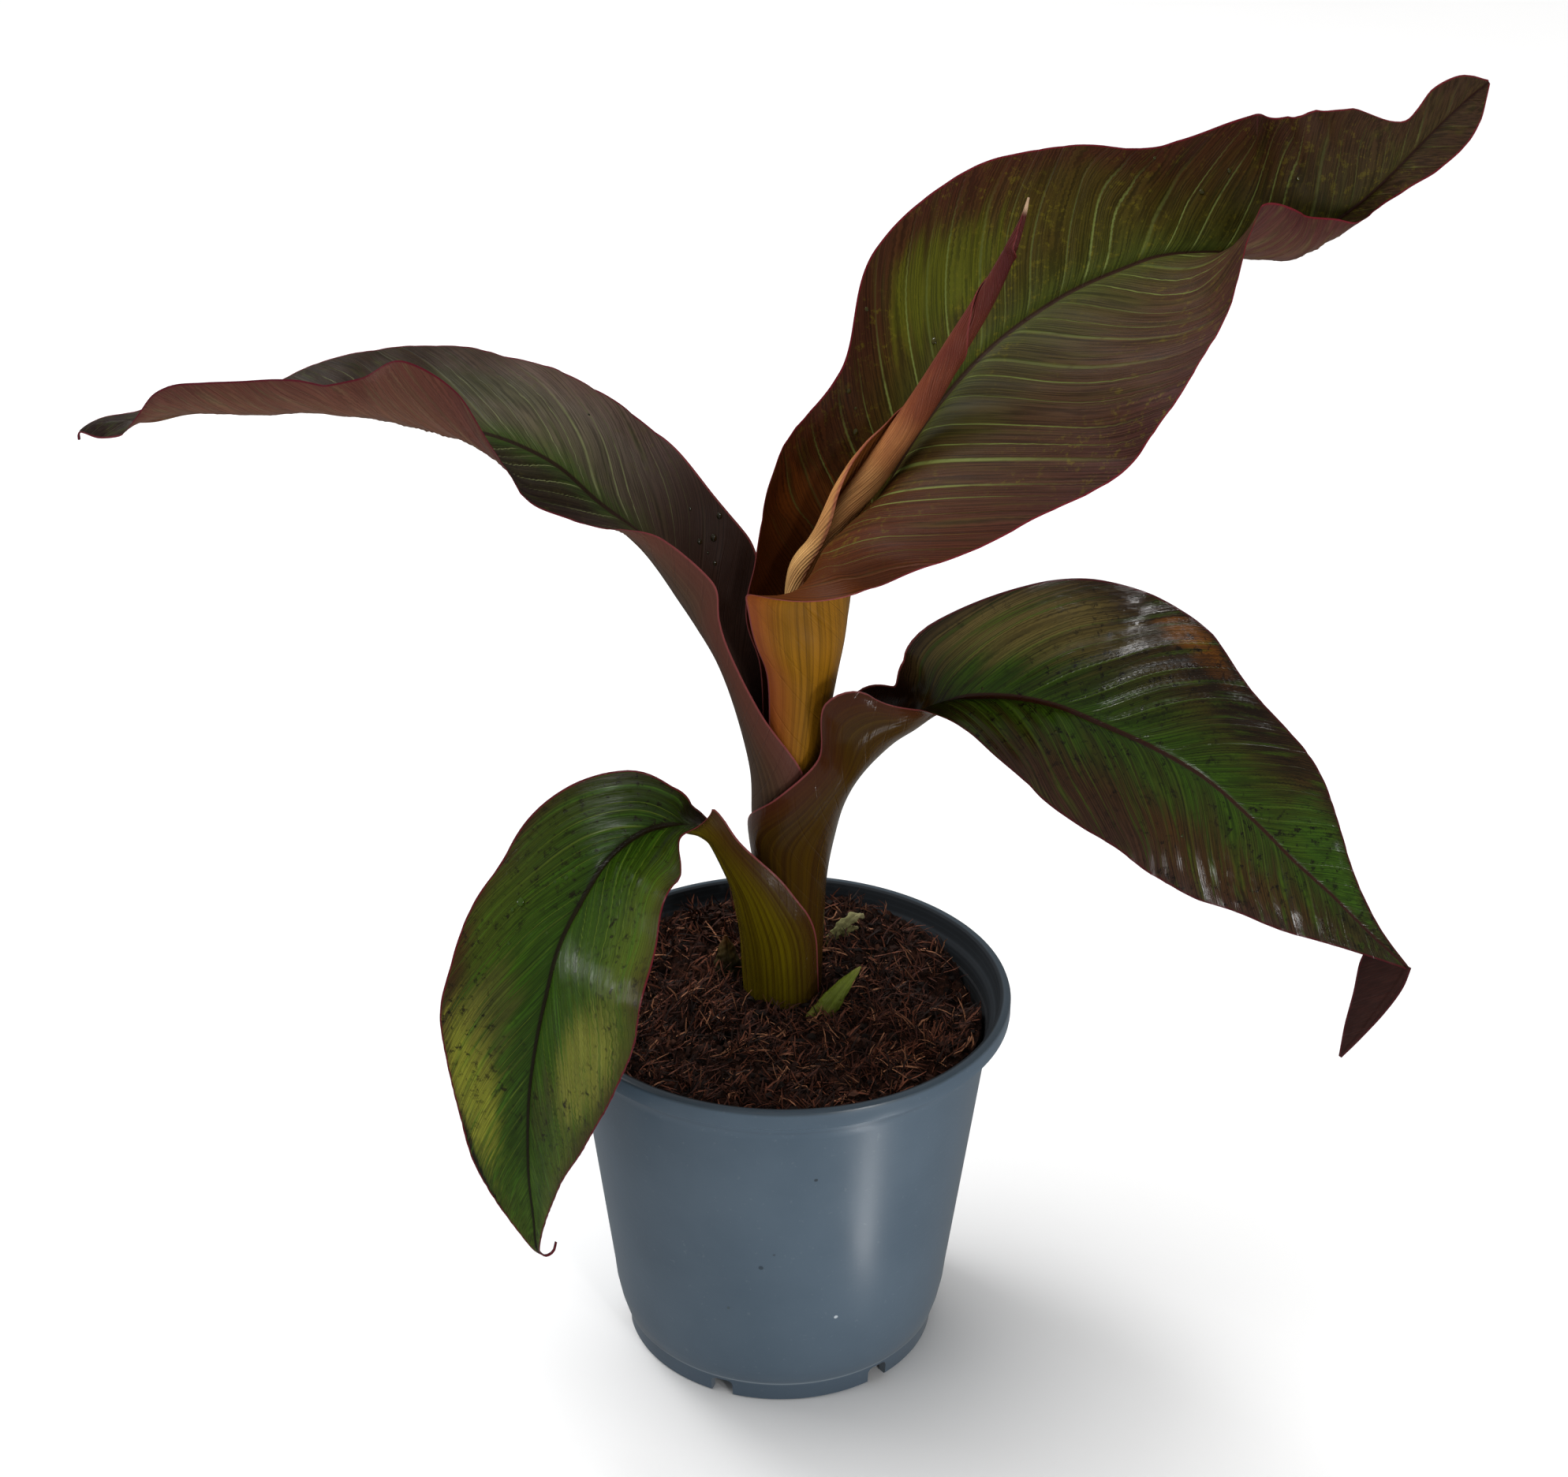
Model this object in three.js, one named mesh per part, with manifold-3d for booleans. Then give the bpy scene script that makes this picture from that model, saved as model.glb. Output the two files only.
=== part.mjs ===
// A young banana plant in a nursery pot: the pot, its soil, a false stem of nested leaf
// sheaths, four open leaves, one leaf that is still rolled up, and small shoots at the foot.
// Millimetres, +Z up. The origin is the middle of the pot's underside.

import * as THREE from "three";
import { mergeVertices } from "three/addons/utils/BufferGeometryUtils.js";
import Module from "manifold-3d";

const wasm = await Module();
wasm.setup();

// Pot
const POT_HEIGHT = 112;
const RIM_RADIUS = 65;
const RIM_MOUTH_RADIUS = 62;
const RIM_BAND = 5.5;
const BODY_TOP_RADIUS = 59.9;
const BODY_LOW_RADIUS = 49.5;
const BODY_LOW_HEIGHT = 22;
const FOOT_RADIUS = 45.3;
const FOOT_HEIGHT = 6.4;
const FOOT_RING_WIDTH = 2.6;
const WALL = 1.4;
const FLOOR_HEIGHT = 5.6;
const FLOOR_THICKNESS = 2;
const FLOOR_ROUNDING = 6;
const PAD_RADIUS = 16;
const POT_SIDES = 36;

// The notches through the foot ring, and the drain hole behind each
const NOTCH_COUNT = 6;
const NOTCH_ANGLE = -51;
const NOTCH_WIDTH = 6.6;
const NOTCH_HEIGHT = 5.2;
const NOTCH_CORNER = 1.5;
const DRAIN_RING_RADIUS = 34;
const DRAIN_RADIUS = 4.5;
const DRAIN_SIDES = 8;

// Soil
const SOIL_HEIGHT = 104;
const SOIL_GAP = 0.3;
const SOIL_RINGS = [51, 44, 36, 28, 20, 13];
const SOIL_HOLLOW = { x: 52, y: 16, radius: 13, depth: 7 };

// Plant
const STEM = new THREE.Vector2(0.5, 13);
const GAP = 0.4;
const SPLIT_GAP = 0.3;
const SHEATH_WALL = 1.1;
const BLADE_HALF = 0.5;
const MARGIN_SHARE = 0.6;
const NARROWEST = 0.4;
const STRAIGHT = 1e-4;
const KEEL_SPREAD = 0.45;
const HALF_COLUMNS = 4;
const STALK_STEPS = 12;
const STEPS_PER_BLADE_SECTION = 1.4;
const TIP_STEPS = 6;

// Every leaf lies along one heading, an angle in degrees round the stem from +X. A section
// is [reach from the stem's axis, height, width, fold and curl of the left half, width, fold
// and curl of the right half]. Fold is the slope beside the midrib and curl the slope at the
// margin, in degrees above the level of the leaf's own face. A half that curls past 90
// degrees wraps round the stem. The stalk's thickness is keel, and rib is the midrib's.
// The stalk ends at section split, and the blade may be parted again at section bend.
const LEAVES = {
  leaf_a: {
    heading: 222,
    split: 5,
    keel: 4.2,
    rib: 1.8,
    sections: [
      [12, 96, 22, 0, 105, 25, 0, 125],
      [12.6, 113, 22, 2, 105, 25, 0, 120],
      [16, 132, 20, 5, 92, 18, 5, 95],
      [22, 149, 11.5, 10, 95, 11, 5, 90],
      [27, 159, 8.5, 5, 88, 9, 5, 85],
      [35, 166.5, 10.5, 20, 110, 9, 20, 100],
      [42, 171, 6, -5, -5, 11, 50, 110],
      [52, 172, 17, -8, -8, 19, 60, 85],
      [63, 168, 29, 8, 8, 23, 45, 58],
      [72, 159, 36.5, 8, 8, 25, 25, 30],
      [80, 148, 43, 12, 8, 28, 20, 24],
      [85, 134, 41, 8, 4, 28, 30, 34],
      [89, 120, 36, 8, 4, 28, 30, 34],
      [93, 82, 14, 5, 5, 17, 30, 30],
      [92, 53, 1, 5, 5, 1, 20, 20],
    ],
  },
  leaf_b: {
    heading: -15,
    split: 7,
    keel: 6,
    rib: 2.2,
    sections: [
      [10.9, 96, 30, 0, 165, 30, 0, 165],
      [12, 141, 30.5, 0, 165, 30.5, 0, 165],
      [14, 154, 32, 0, 155, 35, 0, 160],
      [17, 166, 24, 0, 110, 24, 0, 110],
      [22, 176, 18, 0, 115, 18, 0, 115],
      [30, 186, 20, 20, 105, 28, 15, 115],
      [37, 192, 15, 20, 105, 20, 15, 110],
      [43, 198, 18, 50, 110, 10, 10, 50],
      [50, 203, 24, 60, 110, 11, -10, -45],
      [62, 205, 30, 50, 95, 20, -35, -45],
      [75, 204, 36, 45, 75, 27, -38, -46],
      [102, 195, 36, 40, 55, 34, -38, -50],
      [116, 188, 28, 35, 48, 34, -38, -46],
      [130, 177, 26, 35, 45, 28, -38, -46],
      [141, 167, 20, 35, 45, 21, -38, -46],
      [152, 158, 10, 35, 45, 15, -38, -46],
      [173, 140, 1, 20, 20, 1, -30, -40],
    ],
  },
  leaf_c: {
    heading: 170,
    split: 6,
    bend: 12,
    keel: 6,
    rib: 2.4,
    sections: [
      [8.3, 96, 24, 0, 165, 24, 0, 165],
      [8.3, 142, 24, 0, 165, 24, 0, 165],
      [10, 174, 23, 0, 132, 22, 0, 130],
      [14, 191, 14, 0, 100, 17, 0, 95],
      [19, 205, 10, 0, 95, 20, 0, 100],
      [31, 224, 19, 20, 100, 28, 20, 90],
      [40, 238, 16, 10, 80, 27, 20, 65],
      [51, 249, 15, -5, 5, 34, 12, 35],
      [62, 259, 23, -8, -5, 36, 12, 18],
      [74, 265, 25, -20, 40, 39, 10, 15],
      [86, 268, 32, -15, 95, 41, 8, 12],
      [102, 270, 34, -10, 115, 41, 8, 12],
      [113, 271, 23, -12, 105, 38, 8, 14],
      [130, 271.5, 22, -12, 93, 30, 4, 16],
      [143, 269.5, 20, -12, 105, 23, 0, 16],
      [156, 269, 19, -12, 100, 17, -10, 10],
      [167, 267.5, 15, -5, 102, 12, -5, 30],
      [177, 264.5, 8, 5, 70, 7, 5, 40],
      [186, 263.5, 8, -20, 60, 7, -30, 20],
      [200, 259.5, 1, 0, 0, 1, 0, 0],
    ],
  },
  leaf_d: {
    heading: 22,
    split: 7,
    bend: 13,
    keel: 4,
    rib: 2.6,
    sections: [
      [7, 96, 19.5, 0, 165, 19.5, 0, 165],
      [7, 142, 19.5, 0, 165, 19.5, 0, 165],
      [10.2, 179, 24, 0, 165, 24, 0, 165],
      [14, 202, 29, 0, 155, 31, 0, 165],
      [16, 215, 36, 0, 148, 41, 0, 165],
      [19, 227, 37, 0, 148, 52, 0, 132],
      [22, 238, 37, 2, 142, 50, 0, 60],
      [26, 249, 38, 5, 135, 49, 0, 6],
      [38, 270, 29, 10, 80, 50, -18, -16],
      [56, 289, 46, 20, 48, 60, -20, -15],
      [78, 302, 47, 30, 45, 59, -15, 0],
      [100, 309, 42, 30, 45, 50, -15, 20],
      [110, 310.5, 34.5, 32, 52, 44, -8, 45],
      [121, 310, 34, 35, 60, 35, 0, 75],
      [142, 308.5, 37.5, 60, 92, 27, -25, 108],
      [157, 312.5, 35, 80, 96, 17, -25, 85],
      [169, 319, 33, 90, 98, 6, -30, 0],
      [178, 326, 28, 98, 103, 6, -60, -60],
      [186, 333, 12, 103, 105, 9, -75, -75],
      [194, 340, 13, 105, 105, 10, -80, -80],
      [207, 349.5, 1, 105, 105, 1, -80, -80],
    ],
  },
};

// The end of leaf b has dropped and hangs from the tip of its blade
const HANGING_TIP = {
  heading: -15,
  rib: 0.6,
  sections: [
    [171, 139, 13, -85, -85, 2, 85, 85],
    [170, 132, 11.5, -90, -85, 2, 85, 85],
    [167, 124, 7.5, -90, -85, 2, 85, 85],
    [163, 115, 4.5, -90, -85, 1, 85, 85],
    [159, 108, 1, -90, -85, 1, 85, 85],
  ],
};

// The rolled leaf and the core of the stem under it: [reach, height, radius]
const SPEAR = {
  heading: 12,
  sections: [
    [0, 96, 5.1],
    [0, 142, 5.1],
    [0.5, 175, 5.1],
    [1.5, 205, 4.6],
    [5, 233, 3.6],
    [15, 250, 3.8],
    [30, 273, 3.7],
    [45, 301, 3.2],
    [58, 322, 2],
    [63, 334, 0.6],
  ],
};
const SPEAR_SIDES = 8;
const SPEAR_STEPS = 18;

// Shoots at the foot of the stem: flattened spikes from a place in the soil to a tip.
// The outline is [share of the radius, share of the length].
const SHOOTS = {
  green_shoot: { foot: [12, -1, 102], tip: [21.5, 2, 116], radius: 2.6, flat: 0.45, colour: "shoot" },
  cut_shoot: { foot: [14.5, 33, 102], tip: [22.5, 36, 114], radius: 3, flat: 0.5, colour: "dry" },
  brown_bud: { foot: [-16, 19, 102], tip: [-16.5, 20.5, 112], radius: 4, flat: 0.8, colour: "bud" },
};
const SHOOT_SIDES = 8;
const SHOOT_OUTLINE = [[0, 0], [0.8, 0], [1, 0.3], [0.75, 0.65], [0.3, 0.9], [0, 1]];

// The leaves from the innermost outwards, with the colours of stalk and blade
const LEAF_COLOURS = {
  leaf_d: ["sheath_d", "blade_maroon"],
  leaf_c: ["sheath_c", "blade_grey"],
  leaf_b: ["sheath_b", "blade_brown"],
  leaf_a: ["sheath_a", "blade_green"],
};

// Colour and roughness
const COLOURS = {
  pot: [0x5c6b78, 0.55],
  soil: [0x3a2119, 0.95],
  sheath_a: [0x5a5f1c, 0.45],
  sheath_b: [0x5b4327, 0.45],
  sheath_c: [0x5c4733, 0.45],
  sheath_d: [0xa5772a, 0.35],
  blade_green: [0x35591f, 0.35],
  blade_brown: [0x4b3a28, 0.35],
  blade_grey: [0x56493f, 0.4],
  blade_maroon: [0x533a31, 0.4],
  spear: [0x8a5236, 0.4],
  shoot: [0x7f8f35, 0.5],
  dry: [0xb3a678, 0.7],
  bud: [0x4d4023, 0.6],
};

const plant = new THREE.Group();

function material(name) {
  const [color, roughness] = COLOURS[name];
  return new THREE.MeshStandardMaterial({ color, roughness, metalness: 0 });
}

function radians(degrees) {
  return THREE.MathUtils.degToRad(degrees);
}

// Values at a place between rows, on a smooth curve through them
function between(rows, place) {
  const last = rows.length - 1;
  const held = Math.min(Math.max(place, 0), last - 1e-9);
  const i = Math.floor(held);
  const f = held - i;
  const before = rows[Math.max(i - 1, 0)];
  const to = rows[i + 1];
  const after = rows[Math.min(i + 2, last)];
  return rows[i].map((from, k) => {
    const leave = (to[k] - before[k]) / 2;
    const arrive = (after[k] - from) / 2;
    const blend = f * f * (3 - 2 * f);
    return from + blend * (to[k] - from) + f * (1 - f) * ((1 - f) * leave - f * arrive);
  });
}

// A closed geometry as a solid
function solidOf(geometry) {
  const bare = geometry.clone();
  bare.deleteAttribute("normal");
  bare.deleteAttribute("uv");
  const merged = mergeVertices(bare);
  const corners = [];
  for (let i = 0; i < merged.index.count; i += 3) {
    const [a, b, c] = [0, 1, 2].map((k) => merged.index.getX(i + k));
    if (a !== b && b !== c && c !== a) corners.push(a, b, c);
  }
  const vertProperties = new Float32Array(merged.attributes.position.array);
  const triVerts = new Uint32Array(corners);
  return new wasm.Manifold(new wasm.Mesh({ numProp: 3, vertProperties, triVerts }));
}

// A solid through closed rings of equally many points. Flat holds the outlines of the
// first and the last ring in their own planes, which fill the two ends. The second half of
// a ring lies back to back with the first, so its diagonals lean the other way along it.
function loft(rings, flat) {
  const count = rings[0].length;
  const corners = [];
  for (let i = 0; i + 1 < rings.length; i += 1) {
    for (let j = 0; j < count; j += 1) {
      const a = i * count + j;
      const b = i * count + ((j + 1) % count);
      if (j < count / 2) corners.push(a, b, b + count, a, b + count, a + count);
      else corners.push(a, b, a + count, b, b + count, a + count);
    }
  }
  const [start, end] = flat.map((outline) => THREE.ShapeUtils.triangulateShape(outline, []));
  const shift = (rings.length - 1) * count;
  start.forEach(([a, b, c]) => corners.push(a, c, b));
  end.forEach(([a, b, c]) => corners.push(a + shift, b + shift, c + shift));
  const geometry = new THREE.BufferGeometry();
  geometry.setFromPoints(rings.flat());
  geometry.setIndex(corners);
  return solidOf(geometry);
}

// A mesh of the solid's largest piece: a cut can leave slivers beside it
function addMesh(name, solid, colour) {
  const [largest] = solid.decompose().sort((a, b) => b.volume() - a.volume());
  const { vertProperties, triVerts } = largest.getMesh();
  const geometry = new THREE.BufferGeometry();
  geometry.setAttribute("position", new THREE.BufferAttribute(new Float32Array(vertProperties), 3));
  geometry.setIndex(new THREE.BufferAttribute(new Uint32Array(triVerts), 1));
  geometry.computeVertexNormals();
  const mesh = new THREE.Mesh(geometry, material(colour));
  mesh.name = name;
  plant.add(mesh);
}

// A geometry of revolution about +Z from an outline of [radius, height]
function turned(outline, sides) {
  const points = outline.map(([radius, height]) => new THREE.Vector2(radius, height));
  return new THREE.LatheGeometry(points, sides).rotateX(Math.PI / 2);
}

// The pot's inner radius at a height
function innerRadius(z) {
  const share = (z - BODY_LOW_HEIGHT) / (POT_HEIGHT - RIM_BAND - BODY_LOW_HEIGHT);
  return BODY_LOW_RADIUS + share * (BODY_TOP_RADIUS - BODY_LOW_RADIUS) - WALL;
}

function potSolid() {
  const lip = POT_HEIGHT - RIM_BAND;
  const floorTop = FLOOR_HEIGHT + FLOOR_THICKNESS;
  const outline = [
    [0, 0],
    [PAD_RADIUS, 0],
    [PAD_RADIUS, FLOOR_HEIGHT],
    [FOOT_RADIUS - FOOT_RING_WIDTH, FLOOR_HEIGHT],
    [FOOT_RADIUS - FOOT_RING_WIDTH, 0],
    [FOOT_RADIUS, 0],
    [FOOT_RADIUS + 0.4, FOOT_HEIGHT],
    [FOOT_RADIUS + 1.2, FOOT_HEIGHT + 0.6],
    [BODY_LOW_RADIUS - 1.6, FOOT_HEIGHT + 5],
    [BODY_LOW_RADIUS - 0.5, BODY_LOW_HEIGHT - 5],
    [BODY_LOW_RADIUS, BODY_LOW_HEIGHT],
    [BODY_TOP_RADIUS, lip - 0.6],
    [BODY_TOP_RADIUS + 0.7, lip],
    [RIM_RADIUS - 0.6, lip],
    [RIM_RADIUS, lip + 0.6],
    [RIM_RADIUS, POT_HEIGHT - 0.7],
    [RIM_RADIUS - 0.7, POT_HEIGHT],
    [RIM_MOUTH_RADIUS + 0.5, POT_HEIGHT],
    [RIM_MOUTH_RADIUS - 0.6, lip + 1.4],
    [innerRadius(lip) + 0.4, lip - 0.4],
    [innerRadius(lip - 2), lip - 2],
    [innerRadius(BODY_LOW_HEIGHT), BODY_LOW_HEIGHT],
    [BODY_LOW_RADIUS - 3.4, floorTop + 3],
    [BODY_LOW_RADIUS - FLOOR_ROUNDING, floorTop],
    [0, floorTop],
  ];
  let solid = solidOf(turned(outline, POT_SIDES));
  for (let i = 0; i < NOTCH_COUNT; i += 1) {
    const angle = radians(NOTCH_ANGLE + (i * 360) / NOTCH_COUNT);
    solid = solid.subtract(notch(angle)).subtract(drain(angle));
  }
  return solid;
}

// An arch through the foot ring, with its top corners cut off
function notch(angle) {
  const half = NOTCH_WIDTH / 2;
  const arch = new THREE.Shape();
  arch.moveTo(-half, -1);
  arch.lineTo(half, -1);
  arch.lineTo(half, NOTCH_HEIGHT - NOTCH_CORNER);
  arch.lineTo(half - NOTCH_CORNER, NOTCH_HEIGHT);
  arch.lineTo(NOTCH_CORNER - half, NOTCH_HEIGHT);
  arch.lineTo(-half, NOTCH_HEIGHT - NOTCH_CORNER);
  arch.closePath();
  const geometry = new THREE.ExtrudeGeometry(arch, { depth: 4 * FOOT_RING_WIDTH, bevelEnabled: false });
  geometry.rotateX(Math.PI / 2).rotateZ(Math.PI / 2);
  geometry.translate(FOOT_RADIUS - 2 * FOOT_RING_WIDTH, 0, 0).rotateZ(angle);
  return solidOf(geometry);
}

function drain(angle) {
  const geometry = new THREE.CylinderGeometry(DRAIN_RADIUS, DRAIN_RADIUS, 3 * FLOOR_THICKNESS, DRAIN_SIDES);
  geometry.rotateX(Math.PI / 2).translate(DRAIN_RING_RADIUS, 0, FLOOR_HEIGHT).rotateZ(angle);
  return solidOf(geometry);
}

// The soil's surface: flat under the stem, uneven further out, with one hollow by the rim
function soilTop(x, y) {
  const out = Math.hypot(x - STEM.x, y - STEM.y);
  const rough = THREE.MathUtils.smoothstep(out, 14, 24);
  const waves = Math.sin(x / 5.1 + 1) * Math.cos(y / 6.3) + 0.7 * Math.sin((x + y) / 3.7 + 2);
  const hollow = SOIL_HOLLOW.depth
    * Math.exp(-(((x - SOIL_HOLLOW.x) ** 2 + (y - SOIL_HOLLOW.y) ** 2) / SOIL_HOLLOW.radius ** 2));
  return SOIL_HEIGHT + rough * 0.8 * waves + 0.02 * y * rough - hollow;
}

function soilSolid(lift) {
  const floorTop = FLOOR_HEIGHT + FLOOR_THICKNESS + SOIL_GAP;
  const widest = innerRadius(SOIL_HEIGHT - SOIL_HOLLOW.depth) - SOIL_GAP;
  const outline = [
    [0, floorTop],
    [BODY_LOW_RADIUS - FLOOR_ROUNDING - SOIL_GAP, floorTop],
    [innerRadius(BODY_LOW_HEIGHT) - 2 * SOIL_GAP, BODY_LOW_HEIGHT],
    [widest, SOIL_HEIGHT],
    ...SOIL_RINGS.map((radius) => [radius, SOIL_HEIGHT]),
    [0, SOIL_HEIGHT],
  ];
  const geometry = turned(outline, POT_SIDES);
  const { position } = geometry.attributes;
  for (let i = 0; i < position.count; i += 1) {
    const isTop = position.getZ(i) > SOIL_HEIGHT - 1;
    if (isTop) position.setZ(i, soilTop(position.getX(i), position.getY(i)) + lift);
  }
  return solidOf(geometry);
}

// The axes at a place on a line that lies along one heading: its direction, its left, and
// the way that its upper face looks
function frameAt(line, place) {
  const heading = radians(line.heading);
  const out = new THREE.Vector3(Math.cos(heading), Math.sin(heading), 0);
  const at = (t) => {
    const [reach, height] = between(line.sections, t);
    return new THREE.Vector3(STEM.x, STEM.y, height).addScaledVector(out, reach);
  };
  const left = new THREE.Vector3(-Math.sin(heading), Math.cos(heading), 0);
  const along = at(place + 0.05).sub(at(place - 0.05)).normalize();
  return { origin: at(place), left, face: along.clone().cross(left) };
}

// A solid along a line between two places, from the outline that it has at each
function solidAlong(line, from, to, steps, outlineOf) {
  const rings = [];
  const outlines = [];
  for (let i = 0; i <= steps; i += 1) {
    const place = from + ((to - from) * i) / steps;
    const { origin, left, face } = frameAt(line, place);
    const outline = outlineOf(between(line.sections, place));
    outlines.push(outline);
    rings.push(outline.map((p) => origin.clone().addScaledVector(left, p.x).addScaledVector(face, p.y)));
  }
  return loft(rings, [outlines[0], outlines[steps]]);
}

// One face of a section, from the left margin to the right one, in the section's plane.
// Offset gives the distance off the leaf's middle surface at a share of the way out to the
// margin, and spread widens each half at its margin.
function sectionSide(row, offset, spread) {
  const side = [];
  for (let column = -HALF_COLUMNS; column <= HALF_COLUMNS; column += 1) {
    const share = Math.abs(column) / HALF_COLUMNS;
    const [width, fold, curl] = column < 0 ? row.slice(2, 5) : row.slice(5, 8);
    const from = radians(fold);
    const turn = radians(curl) - from || STRAIGHT;
    const size = Math.max(width, NARROWEST);
    const to = from + turn * (share === 1 ? 1 + spread / size : share);
    const move = offset(share);
    const x = (size * (Math.sin(to) - Math.sin(from))) / turn - move * Math.sin(to);
    const y = (size * (Math.cos(from) - Math.cos(to))) / turn + move * Math.cos(to);
    side.push(new THREE.Vector2(column < 0 ? x : -x, y));
  }
  return side;
}

function millimetresPerSection(leaf, place) {
  const [reach, height] = between(leaf.sections, place);
  const [nextReach, nextHeight] = between(leaf.sections, place + 0.1);
  return Math.hypot(nextReach - reach, nextHeight - height) / 0.1;
}

// A length of a leaf between two places, with the offsets of its two faces
function leafSolid(leaf, from, to, steps, [upper, lower], spread = 0) {
  const outlineOf = (row) => [
    ...sectionSide(row, upper, spread),
    ...sectionSide(row, lower, spread).reverse(),
  ];
  return solidAlong(leaf, from, to, steps, outlineOf);
}

// A stalk's outer face is the leaf's own surface, and it is thickest along its keel
function stalkFaces(keel, grow) {
  const bulge = (share) => (keel - SHEATH_WALL) * Math.exp(-((share / KEEL_SPREAD) ** 2));
  return [(share) => SHEATH_WALL + bulge(share) + grow, () => -grow];
}

// A blade is thin, with its midrib standing out under it
function bladeFaces(rib, grow) {
  const edge = (share) => BLADE_HALF * (1 - (1 - MARGIN_SHARE) * share);
  const lower = (share) => -edge(share) - (share === 0 ? rib : 0) - grow;
  return [(share) => edge(share) + grow, lower];
}

function spearSolid(grow) {
  const circle = (radius) => Array.from({ length: SPEAR_SIDES }, (_, side) => {
    const turn = (side / SPEAR_SIDES) * 2 * Math.PI;
    return new THREE.Vector2(radius * Math.cos(turn), radius * Math.sin(turn));
  });
  const last = SPEAR.sections.length - 1;
  return solidAlong(SPEAR, 0, last, SPEAR_STEPS, ([, , radius]) => circle(radius + grow));
}

function shootSolid({ foot, tip, radius, flat }) {
  const start = new THREE.Vector3(...foot);
  const way = new THREE.Vector3(...tip).sub(start);
  const outline = SHOOT_OUTLINE.map(([share, along]) => [share * radius, along * way.length()]);
  const turn = new THREE.Quaternion().setFromUnitVectors(new THREE.Vector3(0, 0, 1), way.normalize());
  const geometry = turned(outline, SHOOT_SIDES).scale(flat, 1, 1).applyQuaternion(turn);
  return solidOf(geometry.translate(start.x, start.y, start.z));
}

addMesh("pot", potSolid(), "pot");
addMesh("soil", soilSolid(0), "soil");
const raisedSoil = soilSolid(GAP);

// The rolled leaf, then each leaf from the inside out. Everything is cut back, with a gap,
// from what it wraps round and from the soil.
addMesh("spear", spearSolid(0).subtract(raisedSoil), "spear");
let inside = spearSolid(GAP);

for (const [name, [stalkColour, bladeColour]] of Object.entries(LEAF_COLOURS)) {
  const leaf = LEAVES[name];
  const last = leaf.sections.length - 1;
  const stalk = leafSolid(leaf, 0, leaf.split, STALK_STEPS, stalkFaces(leaf.keel, 0));
  addMesh(`${name}_stalk`, stalk.subtract(inside).subtract(raisedSoil), stalkColour);
  let grown = leafSolid(leaf, 0, leaf.split, STALK_STEPS, stalkFaces(leaf.keel, GAP), GAP);

  const lengths = leaf.bend ? [[leaf.split, leaf.bend], [leaf.bend, last]] : [[leaf.split, last]];
  lengths.forEach(([from, to], i) => {
    const steps = Math.round((to - from) * STEPS_PER_BLADE_SECTION);
    const start = from + SPLIT_GAP / millimetresPerSection(leaf, from);
    const blade = leafSolid(leaf, start, to, steps, bladeFaces(leaf.rib, 0));
    addMesh(`${name}_blade${i ? "_end" : ""}`, blade.subtract(inside), bladeColour);
    grown = grown.add(leafSolid(leaf, from, to, steps, bladeFaces(leaf.rib, GAP), GAP));
  });
  inside = inside.add(grown);
}

const tipLast = HANGING_TIP.sections.length - 1;
const hangingTip = leafSolid(HANGING_TIP, 0, tipLast, TIP_STEPS, bladeFaces(HANGING_TIP.rib, 0));
addMesh("leaf_b_hanging_tip", hangingTip.subtract(inside), "blade_maroon");

for (const [name, shoot] of Object.entries(SHOOTS)) {
  addMesh(name, shootSolid(shoot).subtract(raisedSoil).subtract(inside), shoot.colour);
}

export default plant;
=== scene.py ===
# A young banana plant in a nursery pot, as it stands in the photograph. Lengths in the tables
# and in the mesh code are in millimetres, and those of shaders, lights and floor in metres.

import math

import bmesh
import bpy
import numpy as np
from mathutils import Matrix, Vector


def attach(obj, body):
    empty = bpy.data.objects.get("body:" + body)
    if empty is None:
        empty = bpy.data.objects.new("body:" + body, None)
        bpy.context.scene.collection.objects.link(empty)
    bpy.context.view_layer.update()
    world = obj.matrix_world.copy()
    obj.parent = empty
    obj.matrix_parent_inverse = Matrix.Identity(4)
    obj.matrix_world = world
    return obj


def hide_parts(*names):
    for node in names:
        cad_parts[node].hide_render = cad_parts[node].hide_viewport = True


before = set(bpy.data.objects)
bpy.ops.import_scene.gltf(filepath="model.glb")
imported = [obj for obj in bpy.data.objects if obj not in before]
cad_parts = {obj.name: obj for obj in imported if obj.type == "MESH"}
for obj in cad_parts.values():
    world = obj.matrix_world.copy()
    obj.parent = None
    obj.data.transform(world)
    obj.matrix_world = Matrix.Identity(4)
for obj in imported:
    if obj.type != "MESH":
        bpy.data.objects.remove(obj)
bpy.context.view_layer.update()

MM = 0.001
SEED = 7
UP = np.array([0.0, 0.0, 1.0])
STEM = np.array([0.5, 13.0])

# The leaves' grids, half a blade's thickness, the least width of a leaf's half, the margin round
# each side of a sheet's flat layout, the furrows of half a sheath, and fine veins to a main one
ROW_STEP, SPEAR_STEP = 1.25, 0.9
HALF_COLUMNS, SPEAR_COLUMNS = 34, 120
HALF_BLADE = 0.17
LEAST_WIDTH = 0.3
SEAM = 0.01
SHEATH_FURROWS = 20
FINE_VEINS = 9

# Tones that the leaves share; the last one is in linear light
SHEATH_EDGE = (118, 58, 57)
BLACK = (0, 0, 0)
FURROW_SHADE = (0.01, 0.006, 0.003)

# Sharper angles than these, in degrees, are left as creases
CREASE, POT_CREASE = 55, 40

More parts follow.
